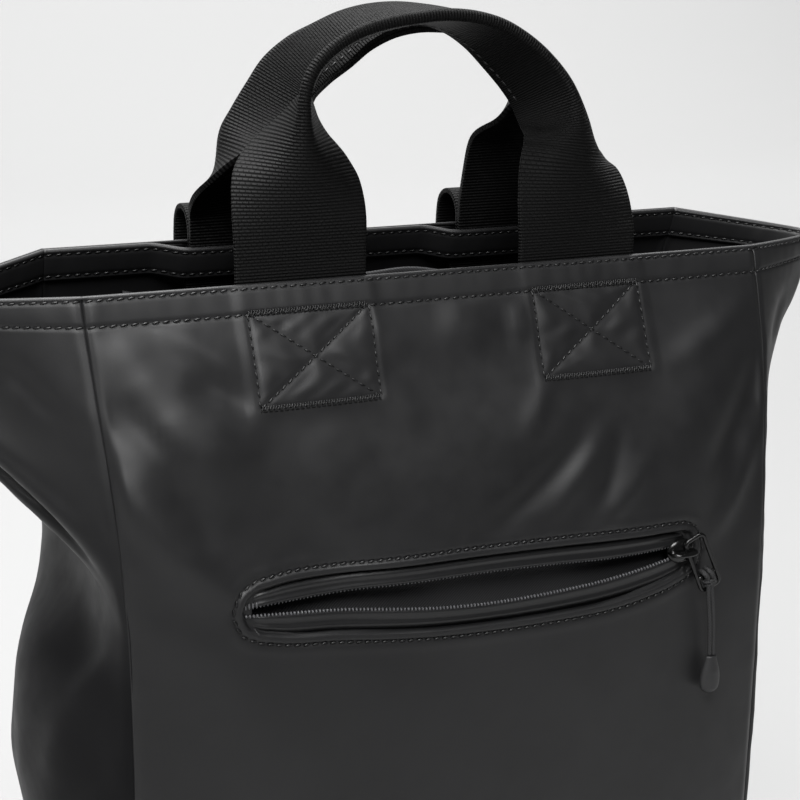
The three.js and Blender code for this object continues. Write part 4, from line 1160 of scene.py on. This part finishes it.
def across_band(s, middle, tangent, front, fold, turn):
    """Points across a band of webbing, s from its middle, where it is folded by a share fold and
    its open edges are swung by turn degrees."""
    angle = max(math.radians(fold * FOLD_ANGLE), 1e-4)
    swing = math.radians(turn)
    side = unit(np.cross(tangent, front))
    crease = front * math.cos(swing) - side * math.sin(swing)
    width = side * math.cos(swing) + front * math.sin(swing)
    bend = mix(WEB_WIDTH * 0.4, FOLD_BEND, ease(fold))
    reach = np.minimum(np.abs(s), bend)
    radius = bend / angle
    turned = angle * reach / bend
    straight = np.maximum(np.abs(s) - bend, 0)
    over = radius * np.sin(turned) + straight * math.cos(angle)
    down = radius * (1 - np.cos(turned)) + straight * math.sin(angle)
    points = middle + np.outer(np.sign(s) * over, width) - np.outer(down, crease)
    out = np.outer(np.sign(s) * np.sin(turned), width) + np.outer(np.cos(turned), crease)
    return points, out


def handle_rows(face, layer, s):
    """Rows of points, and of the ways out, across a handle from one tail to the other, and the
    first and last of the rows that are folded shut."""
    side = 1 if face == "front" else -1
    rim = BODY_HEIGHT + (0 if face == "front" else BACK_RISE)
    depth = layer_depth(layer) + WEB_THICKNESS / 2
    rim_y = wall_point(face, side * HANDLE_SPACING / 2, rim, depth)[1]
    grip = GRIPS[face]
    count = len(grip["out"])
    fine = np.linspace(0, count - 1, (count - 1) * ROWS_PER_PLACE + 1)
    read = {name: through(fine, np.arange(count), values) for name, values in grip.items()}
    course = np.stack([
        side * read["out"] * HANDLE_SPACING / 2,
        rim_y + side * read["back"] * HANDLE_SETBACK,
        rim + read["up"] * HANDLE_HEIGHT,
    ], -1)
    tangents = unit(np.gradient(course, axis=0))
    upright = np.sign(tangents[:, 2:]) * (0, 0, 1)
    tangents = unit(mix(upright, tangents, ease((read["up"] - 0.1) / 0.6)[:, None]))
    tails = {}
    for end in (-1, 1):
        rows = []
        for down in np.linspace(HANDLE_TAIL, 0, 16):
            x = side * end * (HANDLE_SPACING / 2 - s)
            points = wall_point(face, x, np.full(len(s), rim - down), depth)
            out = np.tile(np.array([0.0, -side, 0.0]), (len(s), 1))
            rows.append((points, out))
        tails[end] = rows
    bands = []
    for i, middle in enumerate(course):
        front = np.array([0.0, -side, 0.0])
        front = unit(front - tangents[i] * (front @ tangents[i]))
        fold = float(np.clip(read["fold"][i], 0, 1))
        bands.append(across_band(s, middle, tangents[i], front, fold, read["turn"][i]))
    rows = tails[-1] + bands + tails[1][::-1]
    first = len(tails[-1]) + FIRST_FOLDED * ROWS_PER_PLACE
    last = len(tails[-1]) + LAST_FOLDED * ROWS_PER_PLACE
    return np.array([r[0] for r in rows]), np.array([r[1] for r in rows]), first, last


def handle(face, layer, name, node):
    """One handle, its lines across closer together where the webbing is creased."""
    half_width = WEB_WIDTH / 2
    s = stops((-half_width, -4, 1.6), (-4, 4, 0.45), (4, half_width, 1.6))
    points = handle_rows(face, layer, s)[0]
    middle = lengths(points[:, len(s) // 2])
    flat_u, flat_v = np.meshgrid(s, middle)
    made = lattice(name, points, np.stack([flat_u, flat_v], -1))
    thicken(made, WEB_THICKNESS, offset=0, bevel=WEB_EDGE)
    return dress(made, WEBBING, "webbing", node)


handle("front", 0, "front_handle_webbing", "front_handle")
handle("back", 1, "rear_handle_webbing", "rear_handle")


# Shoulder straps

def strap_x(z):
    """How far a strap's middle is from the bag's middle at height z."""
    share = (z - STRAP_FOOT_HEIGHT) / (BODY_HEIGHT * 0.9 - STRAP_FOOT_HEIGHT)
    return mix(STRAP_FOOT, HANDLE_SPACING / 2, ease(share))


def strap_lines(side):
    """The lines across a strap: inside the hem, over the rim and down to its sewn foot."""
    layer = layer_depth(0) + WEB_THICKNESS / 2
    back_rim = BODY_HEIGHT + BACK_RISE
    x = side * HANDLE_SPACING / 2
    edges = np.array([-1, -0.5, 0, 0.5, 1]) * WEB_WIDTH / 2
    lines = [
        wall_point("back", x + edges, np.full(5, back_rim - HEM_HEIGHT * share), layer)
        for share in (1.6, 0.8, 0)
    ]
    rim = lines[-1]
    rim_y = rim[2, 1]
    radius = STRAP_LOOP_DEPTH / 2
    crown = back_rim + STRAP_LOOP_HEIGHT - radius - WEB_THICKNESS / 2
    for angle in np.pi * np.linspace(0, 1, 9):
        lines.append(np.stack([
            rim[:, 0],
            np.full(5, rim_y + radius * (1 - math.cos(angle))),
            np.full(5, crown + radius * math.sin(angle)),
        ], -1))
    for share in (0.06, 0.13, 0.21, 0.3, 0.4, 0.5, 0.6, 0.7, 0.8, 0.85, 0.9, 0.95, 1):
        z = mix(back_rim, STRAP_FOOT_HEIGHT, share)
        seats = wall_point("back", side * strap_x(z) + edges, np.full(5, z),
                           -CLEARANCE - WEB_THICKNESS / 2)
        outermost = seats[:, 1].max()
        hang = mix(rim_y + STRAP_LOOP_DEPTH, outermost + STRAP_SLACK, ease(share / 0.45))
        clear = max(hang, outermost + WEB_THICKNESS)
        seated = ease((share - 0.8) / 0.15)
        seats[:, 1] = mix(clear, seats[:, 1], seated)
        seats[:, 2] = z
        lines.append(seats)
    return np.array(lines)


def shoulder_strap(side, name):
    lines = strap_lines(side)
    run = lengths(lines[:, 2])
    fine = np.linspace(0, run[-1], int(run[-1] / 2))
    flat = lines.reshape(len(lines), -1)
    rows = through(fine, run, flat).reshape(len(fine), 5, 3)
    s = np.linspace(-1, 1, 25)
    columns = [through(s, np.linspace(-1, 1, 5), row) for row in rows]
    points = np.array(columns)
    if side > 0:
        points = points[:, ::-1]
    flat_u, flat_v = np.meshgrid(s * WEB_WIDTH / 2, fine)
    made = lattice(name + "_webbing", points, np.stack([flat_u, flat_v], -1))
    thicken(made, WEB_THICKNESS, offset=0, bevel=WEB_EDGE)
    return dress(made, WEBBING, "webbing", name)


def strap_slide(side, name):
    """A moulded slide: two bars lie over the webbing and one behind it, between two rails."""
    low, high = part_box(name)
    middle = np.array((low + high) / 2) / MM
    course = strap_lines(side)[:, 2]
    down = unit(course[-6] - course[-7])
    across = unit(np.array([1.0, 0, 0]) - down * down[0])
    out = np.cross(across, down)
    out = out * math.copysign(1, out[1])
    reach = WEB_WIDTH / 2 + CLEARANCE * 2 + 2
    off = WEB_THICKNESS / 2 + CLEARANCE + SLIDE_BAR / 2

    def place(x, y, z):
        return middle + across * x + out * y - down * z

    bars = []
    for z, y in ((-SLIDE_PITCH, off), (0, -off), (SLIDE_PITCH, off)):
        path = [place(x, y, z) for x in np.linspace(-reach, reach, 9)]
        bars.append(tube(f"bar_{z}", path, SLIDE_BAR, sides=16, square=0.6, front=out))
    for x in (-reach, reach):
        path = [place(x, 0, z) for z in np.linspace(-1, 1, 9) * (SLIDE_PITCH + SLIDE_BAR / 2)]
        bars.append(tube(
            f"rail_{x}", path, SLIDE_RAIL, off * 2 + SLIDE_BAR, sides=16, square=0.5, front=out))
    return dress(join(name + "_moulding", bars), ACETAL, "soft_plastic", name)


for side_name, side in (("left", -1), ("right", 1)):
    shoulder_strap(side, f"{side_name}_shoulder_strap")
    strap_slide(side, f"{side_name}_strap_slide")


# Zip and pocket

# Depth of a tape behind the panel's surface, from the opening's edge (0) to its coil (1)
TAPE_PROFILE = table("share depth", [
    (0, 2.3), (0.12, 1.5), (0.3, 0.95), (0.5, 1.3),
    (0.66, 1.15), (0.82, 0.85), (0.94, 1.2), (1, 2.1),
])


def zip_tape(free, edge, away, name, node):
    """A tape from behind the panel to its coil; away is 1 for the upper one, -1 for the lower."""
    x = np.linspace(ZIP_LEFT - TAPE_HIDDEN, ZIP_RIGHT + TAPE_HIDDEN, 190)
    coil = zip_z(free, x)
    lip = zip_z(edge, x)
    hidden = lip + away * TAPE_HIDDEN
    behind = np.array([1, 0.66, 0.33])
    shares = np.linspace(0, 1, 22)
    rows = [mix(lip, hidden, share) for share in behind] + [mix(lip, coil, s) for s in shares]
    inside = ease((ZIP_LENGTH / 2 - np.abs(x - ZIP_OFFSET)) / 9)
    depths = [np.full(len(x), 2.6)] * 3 + [
        mix(2.4, through(s, TAPE_PROFILE["share"], TAPE_PROFILE["depth"]), inside) for s in shares]
    points = wall_point("front", np.tile(x, (len(rows), 1)), np.array(rows), np.array(depths))
    if away > 0:
        points = points[::-1]
    made = lattice(name, points)
    return dress(thicken(made, TAPE_THICKNESS), TAPE, "zip_tape", node)


def beads(made, centres, across, up, out, size, segments=8):
    """Adds small rounded beads at centres to a list of meshes, with their axes and sizes."""
    for first in range(0, len(centres), BEAD_GROUP):
        bm = bmesh.new()
        for i in range(first, min(first + BEAD_GROUP, len(centres))):
            axes = Matrix((across[i], up[i], out[i])).transposed().to_4x4()
            place = Matrix.Translation(Vector(centres[i]) * MM) @ axes @ Matrix.Diagonal(
                Vector(size) * MM).to_4x4()
            bmesh.ops.create_uvsphere(
                bm, u_segments=segments, v_segments=4, radius=0.5, matrix=place)
        made.append(to_object("beads", bm))


def zip_coils():
    """The teeth along the free edges of both tapes."""
    teeth = []
    for free, away, size, shift, depth in (
            ("lower", -1, (0.85, 1.4, 1.5), 0.1, 1.6), ("upper", 1, (0.8, 2.6, 1.0), 0.7, 1.75)):
        x = np.arange(ZIP_LEFT + 1.2, ZIP_RIGHT - 1, TOOTH_PITCH)
        z = zip_z(free, x) + away * shift
        centres = wall_point("front", x, z, depth)
        step = wall_point("front", x + 0.5, zip_z(free, x + 0.5) + away * shift, depth)
        across = unit(step - centres)
        out = np.tile([0.0, -1.0, 0.0], (len(x), 1))
        up = unit(np.cross(across, -out))
        out = np.cross(across, up)
        beads(teeth, centres, across, up, out, size)
    return dress(join("zip_coils", teeth), COIL_PAINTED_GLINT, "zip_tape")


zip_tape("upper", "top", 1, "zip_tape_upper_film", "zip_tape_upper")
zip_tape("lower", "bottom", -1, "zip_tape_lower_film", "zip_tape_lower")
zip_coils()


# The pocket's lining from its upper edge, down the back and up the front: share of the height
# between its foot and its upper edge, and depth behind the panel
POUCH = table("up depth", [
    (1.0, 4.6), (0.97, 7.2), (0.9, 9.6), (0.75, 11.2), (0.55, 11.8), (0.35, 12), (0.15, 11.4),
    (0.04, 10), (0.0, 8.4), (0.03, 6.8), (0.12, 5.9), (0.3, 5.5), (0.5, 5.4), (0.66, 5.3),
])
POUCH_FOOT = 8  # the row at its foot


def pocket_lining():
    """The flat bag behind the opening, as one sheet with its wall on both sides."""
    x = np.linspace(ZIP_LEFT - POCKET_MARGIN, ZIP_RIGHT + POCKET_MARGIN, 90)
    run = np.linspace(0, len(POUCH["up"]) - 1, 90)
    rows = np.arange(len(POUCH["up"]))
    up = through(run, rows, POUCH["up"])
    depth = through(run, rows, POUCH["depth"])
    foot = ZIP_LINE - POCKET_DEPTH
    top = ZIP_LINE + POCKET_TOP
    share = (x - ZIP_OFFSET) / (ZIP_LENGTH / 2 + POCKET_MARGIN)
    narrow = 1 - np.abs(share) ** 6
    points = []
    for i in range(len(run)):
        z = np.full(len(x), mix(foot, top, up[i]))
        if run[i] > POUCH_FOOT:
            limit = zip_z("bottom", x) - TAPE_HIDDEN + 1
            z = np.minimum(z, mix(foot, limit, up[i] / POUCH["up"][-1]))
        ripple = 0.35 * np.sin(x / 7 + 2 * np.sin(z / 23)) * narrow
        sunk = mix(POCKET_SEAM_DEPTH, depth[i], narrow) + ripple
        points.append(wall_point("front", x, z, sunk))
    made = lattice("pocket_lining_twill", np.array(points))
    return dress(thicken(made, LINING_WALL, offset=0), TWILL, "lining", "pocket_lining")


pocket_lining()


def inner_sleeve():
    """The slip pocket on the inside of the back, with a waved and gaping upper edge."""
    across = np.linspace(-1, 1, 110)
    levels = np.concatenate([np.linspace(0, 0.8, 40), np.linspace(0.81, 1, 30)])
    back_rim = BODY_HEIGHT + BACK_RISE
    top = back_rim - SLEEVE_BELOW_RIM
    web_end = back_rim - HANDLE_TAIL - CLEARANCE
    wave = SLEEVE_DIP * np.cos(np.pi * across * 1.3) * (1 - across**4)
    points = []
    for level in levels:
        z = mix(top - SLEEVE_HEIGHT, top + wave, level)
        gape = SLEEVE_GAPE * (1 - across**2) * ease(level)
        over = ease((z - web_end + SLEEVE_STEP) / SLEEVE_STEP)
        seat = mix(layer_depth(0), layer_depth(2), over)
        ripple = 0.5 * np.sin(across * 21 + level * 3) * ease(level) * (1 - across**6)
        depth = seat + SLEEVE_WALL + gape + ripple
        points.append(wall_point("back", across * SLEEVE_WIDTH / 2, z, depth))
    made = lattice("inner_sleeve_twill", np.array(points))
    return dress(thicken(made, SLEEVE_WALL), TWILL, "lining", "inner_sleeve")


inner_sleeve()


# Stitches

STITCH_PITCH = 3.7
STITCH = (3.1, 0.85, 0.8)  # length, width and height of one stitch


def sew(made, line, out, pitch=STITCH_PITCH, size=STITCH, slant=9.0):
    """Adds stitches along a line of points to a list of meshes; out is the cloth's way out."""
    run = lengths(line)
    count = max(2, round(run[-1] / pitch))
    spots = (np.arange(count) + 0.5) * run[-1] / count
    centres = along_line(line, spots)
    step = along_line(line, np.minimum(spots + 0.3, run[-1])) - along_line(line, spots - 0.3)
    along = unit(step)
    normal = unit(np.stack([np.interp(spots, run, out[:, k]) for k in range(3)], -1))
    side = unit(np.cross(normal, along))
    normal = np.cross(along, side)
    angle = math.radians(slant)
    turned = along * math.cos(angle) + side * math.sin(angle)
    side = np.cross(normal, turned)
    beads(made, centres, turned, side, normal, size, segments=6)


def on_face(face, u, h, lift=0.3):
    """A line on a panel's finished surface, with the ways out there."""
    here, out, _ = skin(face, u, h)
    return here + out * (face_relief(face, u, h) + lift)[..., None], out


def rim_stitching():
    """Two rows of stitches round the rim, on its outside and on the facing inside."""
    made = []
    for face in ("front", "right_gusset", "back", "left_gusset"):
        u = np.linspace(-0.995, 0.995, 400)
        for below in RIM_STITCHES:
            h = np.full(400, 1 - below / BODY_HEIGHT)
            sew(made, *on_face(face, u, h))
            here, out, _ = skin(face, u, h)
            inner = here - out * (facing_depth(face, u) - 0.25)[..., None]
            sew(made, inner, -out)
    return dress(join("rim_stitching", made), THREAD, "coated_cloth")


def patch_line(face, middle, ends, count=60):
    """A straight line on a patch, between two places given across and below the rim."""
    (x0, below0), (x1, below1) = ends
    share = np.linspace(0, 1, count)
    x = middle + mix(x0, x1, share)
    h = 1 - mix(below0, below1, share) / BODY_HEIGHT
    u = x / (through(h, SECTIONS["height"], SECTIONS["width"]) * SEAM)
    return on_face(face, u, h)


def patch_stitching():
    """On each patch two upright lines, a cross, and a dense zigzag along its top and foot."""
    made = []
    half_x = PATCH_WIDTH / 2
    top, foot = PATCH_BELOW_RIM, PATCH_BELOW_RIM + PATCH_HEIGHT
    for face in ("front", "back"):
        for middle in (-HANDLE_SPACING / 2, HANDLE_SPACING / 2):
            for ends in (
                    ((-half_x, top), (-half_x, foot)), ((half_x, top), (half_x, foot)),
                    ((-half_x, top), (half_x, foot)), ((-half_x, foot), (half_x, top))):
                sew(made, *patch_line(face, middle, ends), pitch=3.3, size=(2.8, 0.8, 0.75))
            for below in (top + 0.2, foot):
                line, out = patch_line(face, middle, ((-half_x, below), (half_x, below)))
                sew(made, line + out * 0.2, out, pitch=1.0, size=(3.1, 0.6, 0.8), slant=66)
                sew(made, line + out * 0.4, out, pitch=2.0, size=(3.1, 0.6, 0.8), slant=-60)
    return dress(join("patch_stitching", made), THREAD, "coated_cloth")


def offset_outline(distance, count=420):
    """The outline of the opening moved outwards, as points across and up."""
    line = np.concatenate([OPENING, OPENING[:1]])
    even = along_line(line, np.linspace(0, lengths(line)[-1], count))
    run = np.gradient(even, axis=0)
    run[0] = run[-1] = even[1] - even[-2]
    for _ in range(6):
        run = (np.roll(run, 1, axis=0) + run + np.roll(run, -1, axis=0)) / 3
    side = unit(np.stack([run[:, 1], -run[:, 0]], -1))
    return even + side * distance


def pocket_stitching():
    """One line of stitches round the strip at the pocket's opening."""
    made = []
    line = offset_outline(STRIP_WIDTH)
    h = line[:, 1] / BODY_HEIGHT
    u = line[:, 0] / (through(h, SECTIONS["height"], SECTIONS["width"]) * SEAM)
    sew(made, *on_face("front", u, h, 0.5), pitch=3.4, size=(2.9, 0.9, 0.9), slant=16)
    return dress(join("pocket_stitching", made), THREAD, "coated_cloth")


def handle_stitching():
    """Stitches that hold the folded grips shut, near the open edges."""
    made = []
    inset = WEB_WIDTH / 2 - 3
    for face, layer in (("front", 0), ("back", 1)):
        points, out, first, last = handle_rows(face, layer, np.array([-inset, inset]))
        for column in (0, 1):
            line = points[first:last, column]
            way = out[first:last, column]
            sew(made, line + way * (WEB_THICKNESS / 2 + 0.05), way, pitch=3.6, size=(2.9, 0.7, 0.5))
    return dress(join("handle_stitching", made), THREAD, "webbing")


rim_stitching()
patch_stitching()
pocket_stitching()
handle_stitching()


# Stage and light

SWEEP_START = 2500  # where the floor starts to curve up
SWEEP_RADIUS = 1500
FLOOR_DROP = 0.2  # keeps the floor just clear of the bag's underside


def paper():
    """Matt paper sweep: pale grey, with a very faint tooth."""
    material, tree = start_material("paper_sweep_matt")
    place = add(tree, "TexCoord").outputs["Object"]
    tooth = add(tree, "TexNoise", {"Vector": place, "Scale": 300.0})
    bump = add(tree, "Bump", {"Height": tooth.outputs[0], "Strength": 0.02, "Distance": 0.001})
    end_material(tree, {
        "Base Color": linear("#a0a0a0"), "Roughness": 0.9, "Normal": bump.outputs[0]})
    return material


def sweep():
    """A pale floor that curves up into a backdrop."""
    y = [-4000, -2000, 0, 1500, SWEEP_START]
    z = [0, 0, 0, 0, 0]
    for angle in np.radians(np.linspace(6, 90, 15)):
        y.append(SWEEP_START + SWEEP_RADIUS * math.sin(angle))
        z.append(SWEEP_RADIUS * (1 - math.cos(angle)))
    y.append(SWEEP_START + SWEEP_RADIUS)
    z.append(5000)
    x = np.linspace(-6000, 6000, 9)
    points = np.array([[(across, deep, high) for across in x] for deep, high in zip(y, z)])
    points[..., 2] -= FLOOR_DROP
    made = lattice("paper_sweep", points)
    made.data.materials.append(paper())


def soft_light(name, place, aim, size, power):
    """A soft box at a place, in metres, turned towards an aim."""
    data = bpy.data.lights.new(name, "AREA")
    data.shape = "RECTANGLE"
    data.size, data.size_y = size
    data.energy = power
    light = bpy.data.objects.new(name, data)
    light.location = place
    light.rotation_euler = (Vector(aim) - Vector(place)).to_track_quat("-Z", "Y").to_euler()
    bpy.context.scene.collection.objects.link(light)


sweep()
soft_light("key", (-0.5, -0.95, 1.5), (0, 0, 0.33), (1.0, 0.8), 31)
soft_light("top", (-0.1, 0.3, 1.7), (0, 0, 0.3), (0.8, 0.8), 32)
soft_light("side", (-1.7, -0.2, 1.1), (0, 0, 0.3), (0.7, 0.9), 2)
soft_light("backdrop", (1.1, 1.9, 3.0), (1.1, 3.4, 0.4), (6, 1.6), 295)

world = bpy.data.worlds.new("studio")
world.use_nodes = True
world.node_tree.nodes["Background"].inputs[0].default_value = linear("#ffffff")
world.node_tree.nodes["Background"].inputs[1].default_value = 0.06
bpy.context.scene.world = world
bpy.context.scene.view_settings.view_transform = "Standard"
